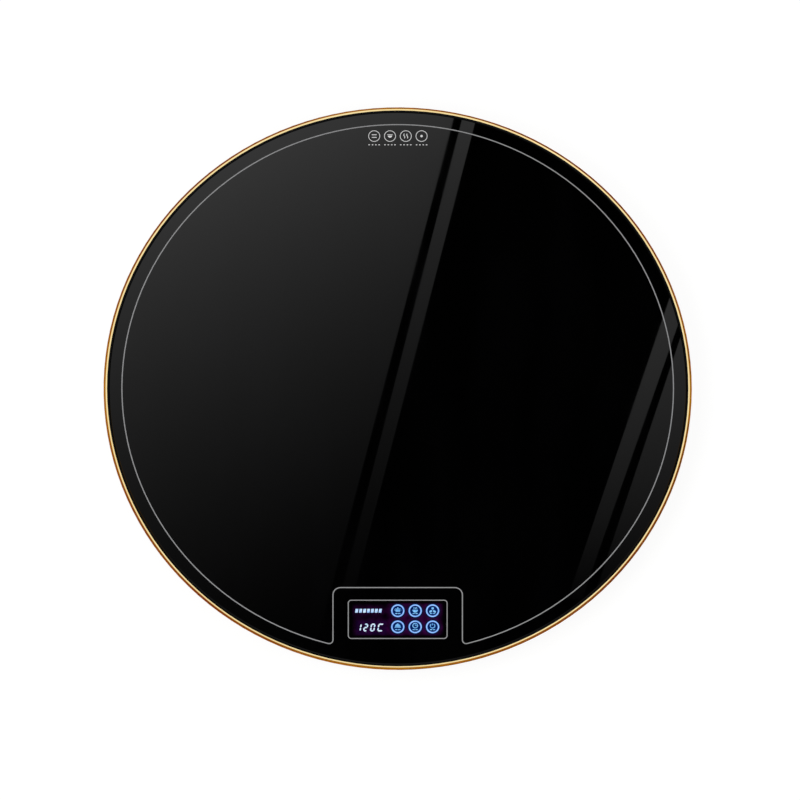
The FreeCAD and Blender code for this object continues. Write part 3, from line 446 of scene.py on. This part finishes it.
# Circuit boards, the transformer's tape and the fuse's tube
BOARD_TRACKS = {
    "Scale": 60.0,
    "Mortar Size": 0.025,
    "Color1": (0.010, 0.085, 0.030),
    "Color2": (0.013, 0.105, 0.038),
    "Mortar": (0.045, 0.24, 0.085),
}
BOARD_ROUGH = (0.22, 0.36)
TAPE_TURNS = 420.0
TAPE_EDGE = (0.75, 1.0)
TAPE_TONES = ((0.74, 0.52, 0.07), (0.52, 0.34, 0.04))
TAPE_ROUGH = (0.24, 0.42)
TAPE_WRINKLE = 2.0 * MM
TAPE_DEPTH = 0.05 * MM
TUBE_TONES = ((0.80, 0.88, 0.85), (0.90, 0.95, 0.93))
TUBE_ROUGH = (0.02, 0.07)
TUBE_HAZE = 3.0 * MM


def circuit_board():
    """Green solder mask over copper tracks, with the weave of the board faintly showing."""
    surface = Surface("circuit_board")
    tree = surface.tree
    tracks = put(tree, "TexBrick", {"Vector": surface.place, **BOARD_TRACKS})
    weave = noise(tree, surface.place, FINE_GRAIN)
    return surface.set(
        Base_Color=tracks.outputs[0],
        Roughness=between(tree, weave, *NOISE_SPAN, *BOARD_ROUGH),
        Normal=bumped(tree, plus(tree, tracks.outputs[1], weave), FINE_DEPTH),
    )


def wound_tape():
    """Yellow tape in overlapping turns."""
    surface = Surface("yellow_component")
    tree = surface.tree
    _, _, z = parts(tree, surface.place)
    turns = maths(tree, "FRACT", times(tree, z, TAPE_TURNS))
    wrinkle = noise(tree, surface.place, TAPE_WRINKLE, detail=3.0)
    return surface.set(
        Base_Color=blended(tree, between(tree, turns, *TAPE_EDGE), *TAPE_TONES),
        Roughness=between(tree, wrinkle, *NOISE_SPAN, *TAPE_ROUGH),
        Normal=bumped(tree, plus(tree, turns, wrinkle), TAPE_DEPTH),
    )


def clear_glass():
    """Thin clear tube with a slight green cast and a trace of haze."""
    surface = Surface("fuse_glass")
    tree = surface.tree
    haze = noise(tree, surface.place, TUBE_HAZE, detail=3.0)
    return surface.set(
        Base_Color=blended(tree, haze, *TUBE_TONES),
        Roughness=between(tree, haze, *NOISE_SPAN, *TUBE_ROUGH),
        Transmission_Weight=1.0,
    )


# Plain slots: two tones, the range of roughness, and the sizes of the blotches and of the grain
MOTTLED = {
    "black_silicone": dict(
        tones=((0.0015, 0.0015, 0.0016), (0.004, 0.004, 0.0042)), rough=(0.60, 0.76),
        blotch=30 * MM, depth=0.01 * MM, shine=0.08,
    ),
    "cover_plastic": dict(
        tones=((0.020, 0.020, 0.022), (0.028, 0.028, 0.030)), rough=(0.42, 0.62),
        blotch=60 * MM, grain=0.9 * MM, depth=0.05 * MM,
    ),
    "foot_rubber": dict(
        tones=((0.015, 0.015, 0.015), (0.026, 0.025, 0.024)), rough=(0.62, 0.82),
        blotch=8 * MM, depth=0.04 * MM,
    ),
    "heater_film": dict(
        tones=((0.30, 0.13, 0.02), (0.40, 0.19, 0.04)), rough=(0.18, 0.30),
        blotch=40 * MM, grain=2 * MM,
    ),
    "copper": dict(
        tones=((0.78, 0.34, 0.18), (0.88, 0.46, 0.28)), rough=(0.22, 0.38),
        blotch=10 * MM, grain=0.5 * MM, depth=0.01 * MM, metal=1.0, stretch=(0.15, 1, 1),
    ),
    "carbon_track": dict(
        tones=((0.014, 0.014, 0.014), (0.030, 0.030, 0.030)), rough=(0.60, 0.78),
        blotch=6 * MM, grain=0.4 * MM, depth=0.01 * MM,
    ),
    "fibre": dict(
        tones=((0.66, 0.63, 0.56), (0.84, 0.82, 0.76)), rough=(0.86, 0.98),
        blotch=12 * MM, grain=1.2 * MM, depth=0.3 * MM, stretch=(0.35, 1, 1),
    ),
    "plain_aluminium": dict(
        tones=((0.72, 0.73, 0.74), (0.84, 0.85, 0.86)), rough=(0.20, 0.36),
        blotch=30 * MM, depth=0.01 * MM, metal=1.0, stretch=(0.06, 1, 1),
    ),
    "screw_steel": dict(
        tones=((0.48, 0.48, 0.50), (0.64, 0.64, 0.66)), rough=(0.26, 0.42),
        blotch=2 * MM, grain=0.4 * MM, depth=0.01 * MM, metal=1.0,
    ),
    "silicone_white": dict(
        tones=((0.68, 0.68, 0.66), (0.80, 0.80, 0.78)), rough=(0.50, 0.66), blotch=6 * MM,
    ),
    "bakelite": dict(
        tones=((0.040, 0.024, 0.018), (0.075, 0.046, 0.034)), rough=(0.28, 0.44), blotch=5 * MM,
    ),
    "inlet_plastic": dict(
        tones=((0.014, 0.014, 0.015), (0.022, 0.022, 0.024)), rough=(0.28, 0.42),
        blotch=20 * MM, grain=0.8 * MM,
    ),
    "plated_brass": dict(
        tones=((0.62, 0.60, 0.55), (0.78, 0.77, 0.73)), rough=(0.16, 0.30),
        blotch=3 * MM, grain=0.4 * MM, depth=0.01 * MM, metal=1.0,
    ),
    "black_component": dict(
        tones=((0.016, 0.016, 0.017), (0.030, 0.030, 0.031)), rough=(0.34, 0.50), blotch=4 * MM,
    ),
    "blue_component": dict(
        tones=((0.02, 0.07, 0.32), (0.04, 0.12, 0.46)), rough=(0.22, 0.36), blotch=4 * MM,
    ),
    "white_plastic": dict(
        tones=((0.76, 0.76, 0.74), (0.86, 0.86, 0.84)), rough=(0.36, 0.52), blotch=10 * MM,
    ),
    "mask_film": dict(
        tones=((0.008, 0.008, 0.010), (0.014, 0.014, 0.016)), rough=(0.20, 0.34),
        blotch=8 * MM, depth=0.01 * MM,
    ),
    "display_face": dict(
        tones=((0.024, 0.024, 0.034), (0.040, 0.040, 0.052)), rough=(0.16, 0.28),
        blotch=6 * MM, depth=0.01 * MM,
    ),
    "brown_wire": dict(
        tones=((0.13, 0.045, 0.015), (0.19, 0.075, 0.03)), rough=(0.38, 0.52), blotch=6 * MM,
    ),
    "blue_wire": dict(
        tones=((0.015, 0.08, 0.38), (0.03, 0.13, 0.52)), rough=(0.38, 0.52), blotch=6 * MM,
    ),
    "earth_wire": dict(
        tones=((0.05, 0.28, 0.03), (0.72, 0.66, 0.05)), rough=(0.38, 0.52),
        blotch=5 * MM, stretch=(1, 0.3, 1),
    ),
    "grey_cable": dict(
        tones=((0.40, 0.40, 0.41), (0.50, 0.50, 0.52)), rough=(0.42, 0.58), blotch=6 * MM,
    ),
}


def slot_materials():
    """Every slot of the record with its material."""
    made = {slot: mottled(slot, **look) for slot, look in MOTTLED.items()}
    made["black_glass"] = black_glass()
    made["gold_rim"] = gold_rim()
    made["grey_enamel"] = enamel("grey_enamel", GREY_ENAMEL)
    made["key_glow"] = key_rings()
    made["circuit_board"] = circuit_board()
    made["yellow_component"] = wound_tape()
    made["fuse_glass"] = clear_glass()
    return made


def dress_nodes(materials):
    """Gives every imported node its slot's material."""
    for row in frame["record"]["subparts"]:
        node = frame["nodes"][row["node"]]
        for holder in node.material_slots:
            holder.material = materials[row["material_slot"]]
        if not node.material_slots:
            node.data.materials.append(materials[row["material_slot"]])


# Flat shapes on the glass, in the plan of a drawing with its own middle

def circle(radius, place=(0, 0), start=0.0, sweep=2 * math.pi):
    """Points of an arc, counterclockwise, or of a whole circle."""
    steps = max(3, round(sweep / ARC_STEP))
    closed = sweep >= 2 * math.pi
    angles = [start + sweep * index / steps for index in range(steps if closed else steps + 1)]
    return [(place[0] + radius * math.cos(a), place[1] + radius * math.sin(a)) for a in angles]


def ellipse(long, short, place, turn):
    """Points of a turned ellipse."""
    points = []
    for x, y in circle(1.0):
        a, b = x * long, y * short
        across = a * math.cos(turn) - b * math.sin(turn)
        along = a * math.sin(turn) + b * math.cos(turn)
        points.append((place[0] + across, place[1] + along))
    return points


def rectangle(width, height, radius=0.0, place=(0, 0)):
    """Points of a rounded rectangle."""
    x, y = width / 2 - radius, height / 2 - radius
    corners = ((x, y), (-x, y), (-x, -y), (x, -y))
    if radius == 0:
        return [(place[0] + a, place[1] + b) for a, b in corners]
    points = []
    for index, (a, b) in enumerate(corners):
        points += circle(radius, (place[0] + a, place[1] + b), index * math.pi / 2, math.pi / 2)
    return points


def band(path, width):
    """Outline of a line of even width along a path of points."""
    left, right = [], []
    for index, point in enumerate(path):
        here = Vector(point)
        before = Vector(path[max(index - 1, 0)])
        after = Vector(path[min(index + 1, len(path) - 1)])
        side = (after - before).normalized().orthogonal() * width / 2
        left.append(tuple(here + side))
        right.append(tuple(here - side))
    return left + right[::-1]


def wave_line(across, foot, swing, turn, rise, count, width):
    """A wavy upright line from its foot, with the turn and the rise from one point to the next."""
    path = [(across + swing * math.sin(step * turn), foot + rise * step) for step in range(count)]
    return band(path, width)


def ring_loop(radius, line, place=(0, 0)):
    """Outlines of a round line."""
    return circle(radius, place), circle(radius - line, place)


def moved(points, place, scale=1.0, slant=0.0):
    """Points scaled, leant to the right and moved."""
    return [(place[0] + scale * (x + slant * y), place[1] + scale * y) for x, y in points]


def facing_up(points):
    """The points in counterclockwise order."""
    pairs = zip(points, points[1:] + points[:1])
    area = sum(a[0] * b[1] - b[0] * a[1] for a, b in pairs)
    return points if area > 0 else points[::-1]


def add_prism(mesh, points, low, high):
    """A closed upright prism on an outline."""
    points = facing_up(points)
    floor = [mesh.verts.new((x, y, low)) for x, y in points]
    roof = [mesh.verts.new((x, y, high)) for x, y in points]
    mesh.faces.new(floor[::-1])
    mesh.faces.new(roof)
    for index in range(len(points)):
        after = (index + 1) % len(points)
        mesh.faces.new((floor[index], floor[after], roof[after], roof[index]))


def add_loop(mesh, outer, inner, low, high):
    """A closed upright wall between two outlines with the same number of points."""
    rows = [
        [mesh.verts.new((x, y, z)) for x, y in points]
        for points, z in ((outer, low), (outer, high), (inner, high), (inner, low))
    ]
    count = len(outer)
    for row, other in zip(rows, rows[1:] + rows[:1]):
        for index in range(count):
            after = (index + 1) % count
            mesh.faces.new((row[index], row[after], other[after], other[index]))


def placed(name, mesh, material):
    """An object in the scene with a mesh and one material."""
    data = bpy.data.meshes.new(name)
    mesh.to_mesh(data)
    mesh.free()
    data.materials.append(material)
    made = bpy.data.objects.new(name, data)
    bpy.context.scene.collection.objects.link(made)
    return made


def piece(name, solids, loops, material):
    """A flat raised print made of solid outlines and of loops, riding on the tray."""
    mesh = bmesh.new()
    low, high = glass_top_z, glass_top_z + PRINT_HEIGHT
    for points in solids:
        add_prism(mesh, points, low, high)
    for outer, inner in loops:
        add_loop(mesh, outer, inner, low, high)
    made = placed(name, mesh, material)
    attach(made, "root")


# Readout of slanted seven-segment characters, in millimetres: each has its place across and its width
DIGIT_HEIGHT = 8.4
DIGIT_LINE = 1.4
DIGIT_SLANT = 0.17
SEGMENT_GAP = 0.08
READOUT = (("1", -12.4, 4.4), ("2", -5.7, 4.4), ("0", 1.4, 4.8), ("C", 9.5, 6.0))
SEGMENTS = {
    "1": "bc",
    "2": "abged",
    "0": "abcdef",
    "C": "adef",
}


def segment_path(name, width):
    """Two ends of a segment in a character with its middle at the origin, in millimetres."""
    x = (width - DIGIT_LINE) / 2
    y = (DIGIT_HEIGHT - DIGIT_LINE) / 2
    ends = {
        "a": ((-x, y), (x, y)), "b": ((x, y), (x, 0)), "c": ((x, 0), (x, -y)), "d": ((-x, -y), (x, -y)),
        "e": ((-x, 0), (-x, -y)), "f": ((-x, y), (-x, 0)), "g": ((-x, 0), (x, 0)),
    }
    return ends[name]


def segment(name, width):
    """Pointed bar of one segment."""
    start, end = (Vector(p) for p in segment_path(name, width))
    along = (end - start).normalized()
    side = along.orthogonal() * DIGIT_LINE / 2
    start += along * SEGMENT_GAP
    end -= along * SEGMENT_GAP
    tip = along * DIGIT_LINE / 2
    corners = (start, start + tip + side, end - tip + side, end, end - tip - side, start + tip - side)
    return [tuple(p) for p in corners]


def readout(material):
    """The temperature on the display."""
    solids = []
    for character, across, width in READOUT:
        place = (display_centre.x + across * MM, display_centre.y)
        for name in SEGMENTS[character]:
            solids.append(moved(segment(name, width), place, MM, DIGIT_SLANT))
    piece("readout_digits", solids, [], material)


# Heat level over the readout, in millimetres
LEVEL_BARS = 7
LEVEL_BAR_WIDTH = 2.8
LEVEL_BAR_HEIGHT = 4.0
LEVEL_BAR_CORNER = 0.3


def level_bar(material):
    """Heat level shown as a row of leaning bars."""
    pitch = (level_high.x - level_low.x) / LEVEL_BARS
    bars = []
    for index in range(LEVEL_BARS):
        across = (index - (LEVEL_BARS - 1) / 2) * pitch
        bar = rectangle(LEVEL_BAR_WIDTH, LEVEL_BAR_HEIGHT, LEVEL_BAR_CORNER)
        bars.append(moved(bar, (level_centre.x + across, level_centre.y), MM, DIGIT_SLANT))
    piece("level_bars", bars, [], material)


# Generic signs inside the keys, drawn in millimetres about the key's middle and then scaled
SIGN_SCALE = 1.1 * MM
SIGN_LINE = 0.75
SIGN_CORNER = 0.2
SIGN_PLATE = 0.6
STEAM_PLACES = (-1.3, 0.0, 1.3)
CLOCK_MIDDLE = (0, 1.2)
POWER_GAP = math.radians(70)
SIGN_BAR_PLACES = (-1.35, 1.35)
SIGN_BAR_WIDTH = 2.1
SIGN_BAR_HEIGHT = 0.9
SIGN_BAR_DROP = 2.7


def pot_sign():
    """A pot with a lid, a knob and two ears."""
    body = rectangle(width=4.4, height=2.2, radius=0.6, place=(0, 0.2))
    lid = rectangle(width=5.0, height=0.55, radius=SIGN_CORNER, place=(0, 1.85))
    knob = circle(radius=0.55, place=(0, 2.75))
    ears = [
        rectangle(width=0.7, height=0.6, radius=SIGN_CORNER, place=(side * 2.9, 0.7))
        for side in (-1, 1)
    ]
    return [body, lid, knob, *ears], []


def bowl_sign():
    """A bowl with steam over it."""
    bowl = circle(radius=2.6, place=(0, 0.9), start=math.pi, sweep=math.pi)
    steam = [
        wave_line(across, foot=1.5, swing=0.3, turn=1.1, rise=0.45, count=5, width=0.6)
        for across in STEAM_PLACES
    ]
    return [bowl, *steam], []


def warmth_sign():
    """Three drops about a middle."""
    drops = [circle(radius=1.15, place=(0, 2.3))]
    for side in (-1, 1):
        drop = ellipse(long=1.55, short=0.95, place=(1.75, -0.6), turn=-0.6)
        drops.append([(side * x, y) for x, y in drop])
    return drops, []


def dome_sign():
    """A dish under a cover."""
    dome = circle(radius=2.5, place=(0, 0.2), start=0.0, sweep=math.pi)
    plate = rectangle(width=6.0, height=SIGN_PLATE, radius=SIGN_CORNER, place=(0, -0.45))
    knob = circle(radius=0.45, place=(0, 3.0))
    return [dome, plate, knob], []


def clock_sign():
    """A clock face with its hands."""
    minutes = rectangle(width=0.55, height=1.7, place=(0, 2.0))
    hours = rectangle(width=1.3, height=0.55, place=(0.9, 1.2))
    return [minutes, hours], [ring_loop(2.6, SIGN_LINE, CLOCK_MIDDLE)]


def power_sign():
    """An open ring with a bar at its top."""
    start, sweep = math.pi / 2 + POWER_GAP / 2, 2 * math.pi - POWER_GAP
    arc = band(circle(radius=2.1, place=(0, 1.0), start=start, sweep=sweep), SIGN_LINE)
    bar = rectangle(width=SIGN_LINE, height=2.0, radius=SIGN_CORNER, place=(0, 2.6))
    return [arc, bar], []


def key_signs(material):
    """One sign in each key, over a pair of short bars."""
    signs = (pot_sign, bowl_sign, warmth_sign, dome_sign, clock_sign, power_sign)
    for number, (sign, key) in enumerate(zip(signs, key_places), 1):
        solids, loops = sign()
        for across in SIGN_BAR_PLACES:
            bar = rectangle(SIGN_BAR_WIDTH, SIGN_BAR_HEIGHT, SIGN_CORNER, (across, -SIGN_BAR_DROP))
            solids.append(bar)
        solids = [moved(points, key, SIGN_SCALE) for points in solids]
        loops = [tuple(moved(points, key, SIGN_SCALE) for points in pair) for pair in loops]
        piece(f"key_sign_{number}", solids, loops, material)


# Plain round marks printed at the back, with short bars under them, in millimetres
MARK_X = 0.2
MARK_Y = 269.0
MARK_PITCH = 16.1
MARK_RADIUS = 6.0
MARK_LINE = 0.62
MARK_LEVEL_PLACES = (-1.4, 1.4)
MARK_WAVE_PLACES = (-1.5, 1.5)
MARK_BARS = 4
MARK_BAR_PITCH = 3.4
MARK_BAR_WIDTH = 1.5
MARK_BAR_HEIGHT = 0.9
MARK_BAR_DROP = 9.3


def mark_shapes():
    """Inner shapes of the four marks: level lines, a dish, heat waves and a dot."""
    levels = [rectangle(width=5.0, height=0.8, radius=0.3, place=(0, y)) for y in MARK_LEVEL_PLACES]
    dish = circle(radius=2.2, place=(0, 0.5), start=math.pi, sweep=math.pi)
    plate = rectangle(width=5.6, height=SIGN_PLATE, radius=SIGN_CORNER, place=(0, 1.5))
    waves = [
        wave_line(across, foot=-2.4, swing=0.55, turn=0.9, rise=0.69, count=8, width=SIGN_LINE)
        for across in MARK_WAVE_PLACES
    ]
    dot = circle(radius=1.25)
    return levels, [dish, plate], waves, [dot]


def back_marks(material):
    """The row of marks inside the printed line."""
    shapes = mark_shapes()
    for number, solids in enumerate(shapes, 1):
        across = (number - 1 - (len(shapes) - 1) / 2) * MARK_PITCH
        place = ((MARK_X + across) * MM, MARK_Y * MM)
        for index in range(MARK_BARS):
            x = (index - (MARK_BARS - 1) / 2) * MARK_BAR_PITCH
            solids.append(rectangle(MARK_BAR_WIDTH, MARK_BAR_HEIGHT, SIGN_CORNER, (x, -MARK_BAR_DROP)))
        solids = [moved(points, place, MM) for points in solids]
        ring = tuple(moved(points, place, MM) for points in ring_loop(MARK_RADIUS, MARK_LINE))
        piece(f"back_mark_{number}", solids, [ring], material)


# Studio: the glass mirrors a dark overhead panel with pale cards below it, inside a pale dome
PANEL_HEIGHT = 3.0
PANEL_RADIUS = 0.34
CARD_GAP = 0.01
GLASS_MIRROR = 0.04
DOME_RADIUS = 3.5
DOME_SEGMENTS = 96
DOME_RINGS = 48
DOME_FOOT = -0.01
DOME_RISE = (0.28, 0.68)
DOME_LEVELS = (0.22, 1.0)
FLOOR_SIZE = 6.0
FLOOR_TONE = 0.16
FLOOR_GRAIN_TONE = 1.06 * FLOOR_TONE
FLOOR_GRAIN_SIZE = 20 * MM
FLOOR_ROUGH = 0.9
FLOOR_OWN_LIGHT = 0.885
WORLD_LEVEL = 0.75
LAMP_SIZE = 1.6
LAMP_POWER = 20.0
LAMP_PLACE = Vector((-1.1, -1.0, 2.2))
card_height = PANEL_HEIGHT - CARD_GAP

# Cards, in millimetres where the glass mirrors them: an edge is its place at y = 0 and its lean
LEFT_EDGE = (-14.6, 0.249)
STRIP_EDGES = ((-4.4, 0.244), (9.05, 0.2465))
RIGHT_EDGES = ((246.1, 0.325), (263.2, 0.334), (271.1, 0.319))
CARD_LIMIT = 320.0
CARD_LOW = -300.0
STRIP_LOW = -215.0
RIGHT_LOW = -225.0
RIGHT_HIGH = 100.0

# Light of the big cards, a cubic of the reach from where it ends, and of the right ones, a power of it
FADE_LOW = -300.0
FADE_SPAN = 473.0
FADE_FACTORS = (0.0040, 0.0056, 0.0065)
SIDE_PULL = 0.58
SIDE_LOW = -240.0
SIDE_SPAN = 270.0
SIDE_TOP = 0.0195
SIDE_POWER = 1.15


def flat_sheet(name, points, height, material):
    """A flat stage surface on an outline."""
    mesh = bmesh.new()
    mesh.faces.new([mesh.verts.new((x, y, height)) for x, y in facing_up(points)])
    made = placed(name, mesh, material)
    return made


def mirrored_only(made):
    """Hides a stage surface from everything but reflections."""
    made.visible_camera = False
    made.visible_diffuse = False
    made.visible_shadow = False
    made.visible_transmission = False
    made.visible_volume_scatter = False


def seen_or_mirrored(tree):
    """One for camera, mirror and transmission rays, and none for the rest."""
    path = put(tree, "LightPath").outputs
    pair = maths(tree, "MAXIMUM", path["Is Camera Ray"], path["Is Glossy Ray"])
    return maths(tree, "MAXIMUM", pair, path["Is Transmission Ray"])


def floor():
    """Pale floor whose colour is lifted to white where it is seen or mirrored, and clear from below."""
    surface = Surface("floor")
    tree = surface.tree
    grain = noise(tree, surface.place, FLOOR_GRAIN_SIZE, detail=3.0)
    material = surface.set(
        Base_Color=blended(tree, grain, (FLOOR_TONE,) * 3, (FLOOR_GRAIN_TONE,) * 3),
        Roughness=FLOOR_ROUGH,
        Specular_IOR_Level=0.0,
        Emission_Color=WHITE,
        Emission_Strength=times(tree, seen_or_mirrored(tree), FLOOR_OWN_LIGHT),
    )
    below = put(tree, "NewGeometry").outputs["Backfacing"]
    clear = put(tree, "BsdfTransparent").outputs[0]
    mix = put(tree, "MixShader", {0: below, 1: surface.shader.outputs[0], 2: clear})
    tree.links.new(mix.outputs[0], surface.out.inputs[0])
    flat_sheet("floor", rectangle(FLOOR_SIZE, FLOOR_SIZE), 0.0, material)


def glow_material(name, strength):
    """Stage material that only shines, with a strength worked out in its tree."""
    made = bpy.data.materials.new(name)
    tree = cleared(made)
    light = put(tree, "Emission", {"Color": WHITE, "Strength": strength(tree)})
    out = put(tree, "OutputMaterial")
    tree.links.new(light.outputs[0], out.inputs[0])
    return made


def mirror_shift(height):
    """How far back the glass mirrors what hangs at a height, from the camera's angle."""
    return (height - glass_top_z) / math.tan(CAMERA_ELEVATION)


def glass_plane(tree):
    """Place on the glass, in millimetres, that mirrors a card's point."""
    across, along, _ = parts(tree, object_place(tree))
    x = maths(tree, "DIVIDE", across, MM)
    y = maths(tree, "DIVIDE", minus(tree, along, mirror_shift(card_height)), MM)
    return x, y


def main_light(tree):
    """Soft light of the big card: bright far back and to the left, and gone at the front."""
    x, y = glass_plane(tree)
    edge = plus(tree, times(tree, y, LEFT_EDGE[1]), LEFT_EDGE[0])
    off = maths(tree, "MAXIMUM", minus(tree, edge, x), 0.0)
    reach = minus(tree, plus(tree, y, times(tree, off, SIDE_PULL)), FADE_LOW)
    share = maths(tree, "MAXIMUM", maths(tree, "DIVIDE", reach, FADE_SPAN), 0.0)
    level = 0.0
    for factor in reversed(FADE_FACTORS):
        level = times(tree, plus(tree, level, factor), share)
    return maths(tree, "DIVIDE", level, GLASS_MIRROR)


def side_light(tree):
    """Light of the two cards at the right, fading to the front."""
    _, y = glass_plane(tree)
    share = maths(tree, "DIVIDE", minus(tree, y, SIDE_LOW), SIDE_SPAN)
    level = maths(tree, "POWER", maths(tree, "MAXIMUM", share, 0.0), SIDE_POWER)
    return times(tree, level, SIDE_TOP / GLASS_MIRROR)


def no_light(tree):
    """Nothing mirrored."""
    return 0.0


def card(name, left, right, low, high, material):
    """A card between two leaning edges and two levels, given on the glass in millimetres."""
    corners = (
        (left[0] + left[1] * low, low), (right[0] + right[1] * low, low),
        (right[0] + right[1] * high, high), (left[0] + left[1] * high, high),
    )
    points = [(x * MM, y * MM + mirror_shift(card_height)) for x, y in corners]
    mirrored_only(flat_sheet(name, points, card_height, material))


def mirror_set():
    """What hangs over the glass and shows only in its reflection."""
    panel = circle(PANEL_RADIUS, (0, mirror_shift(PANEL_HEIGHT)))
    mirrored_only(flat_sheet("mirror_panel", panel, PANEL_HEIGHT, glow_material("panel_black", no_light)))
    soft = glow_material("card_main", main_light)
    side = glow_material("card_side", side_light)
    card("card_left", (-CARD_LIMIT, 0.0), LEFT_EDGE, CARD_LOW, CARD_LIMIT, soft)
    card("card_strip", *STRIP_EDGES, STRIP_LOW, CARD_LIMIT, soft)
    card("card_side_strip", *RIGHT_EDGES[:2], RIGHT_LOW, RIGHT_HIGH, side)
    card("card_side_edge", RIGHT_EDGES[2], (CARD_LIMIT, 0.0), RIGHT_LOW, RIGHT_HIGH, side)


def dome_light(tree):
    """White overhead and greyer towards the horizon."""
    _, _, z = parts(tree, object_place(tree))
    return between(tree, maths(tree, "DIVIDE", z, DOME_RADIUS), *DOME_RISE, *DOME_LEVELS)


def dome():
    """What the tray mirrors all round: a dome close enough for the glass to show its fall of light."""
    mesh = bmesh.new()
    bmesh.ops.create_uvsphere(mesh, u_segments=DOME_SEGMENTS, v_segments=DOME_RINGS, radius=DOME_RADIUS)
    below = [vert for vert in mesh.verts if vert.co.z < DOME_FOOT]
    bmesh.ops.delete(mesh, geom=below, context="VERTS")
    made = placed("mirror_dome", mesh, glow_material("dome_light", dome_light))
    mirrored_only(made)


def world():
    """Soft even light, white where it is seen or mirrored."""
    made = bpy.data.worlds.new("studio")
    tree = cleared(made)
    level = maths(tree, "MAXIMUM", seen_or_mirrored(tree), WORLD_LEVEL)
    back = put(tree, "Background", {"Color": WHITE, "Strength": level})
    out = put(tree, "OutputWorld")
    tree.links.new(back.outputs[0], out.inputs[0])
    bpy.context.scene.world = made


def lamp():
    """A large soft lamp over the front left, kept out of reflections."""
    data = bpy.data.lights.new("soft_lamp", "AREA")
    data.shape = "DISK"
    data.size = LAMP_SIZE
    data.energy = LAMP_POWER
    made = bpy.data.objects.new("soft_lamp", data)
    made.location = LAMP_PLACE
    made.rotation_euler = (-LAMP_PLACE).to_track_quat("-Z", "Y").to_euler()
    made.visible_glossy = False
    bpy.context.scene.collection.objects.link(made)


def camera():
    """The photograph's camera: far off, looking down steeply from the front."""
    data = bpy.data.cameras.new("camera")
    data.type = "ORTHO"
    data.ortho_scale = CAMERA_SPAN
    back = Vector((0, -math.cos(CAMERA_ELEVATION), math.sin(CAMERA_ELEVATION)))
    made = bpy.data.objects.new("camera", data)
    made.location = CAMERA_AIM + back * CAMERA_DISTANCE
    made.rotation_euler = (-back).to_track_quat("-Z", "Y").to_euler()
    bpy.context.scene.collection.objects.link(made)
    bpy.context.scene.camera = made


camera()
world()
lamp()
floor()
mirror_set()
dome()
dress_nodes(slot_materials())
readout(lit_shape("digits_lit", edge=(0.50, 0.74, 1.0), colour=(0.80, 0.92, 1.0), strength=0.98))
level_bar(lit_shape("bars_lit", edge=(0.32, 0.56, 1.0), colour=(0.70, 0.90, 1.0), strength=0.97))
key_signs(lit_shape("signs_lit", edge=(0.08, 0.33, 0.80), colour=(0.27, 0.66, 1.0), strength=0.97))
back_marks(enamel("pale_enamel", PALE_ENAMEL))

bpy.context.scene.view_settings.view_transform = "Standard"
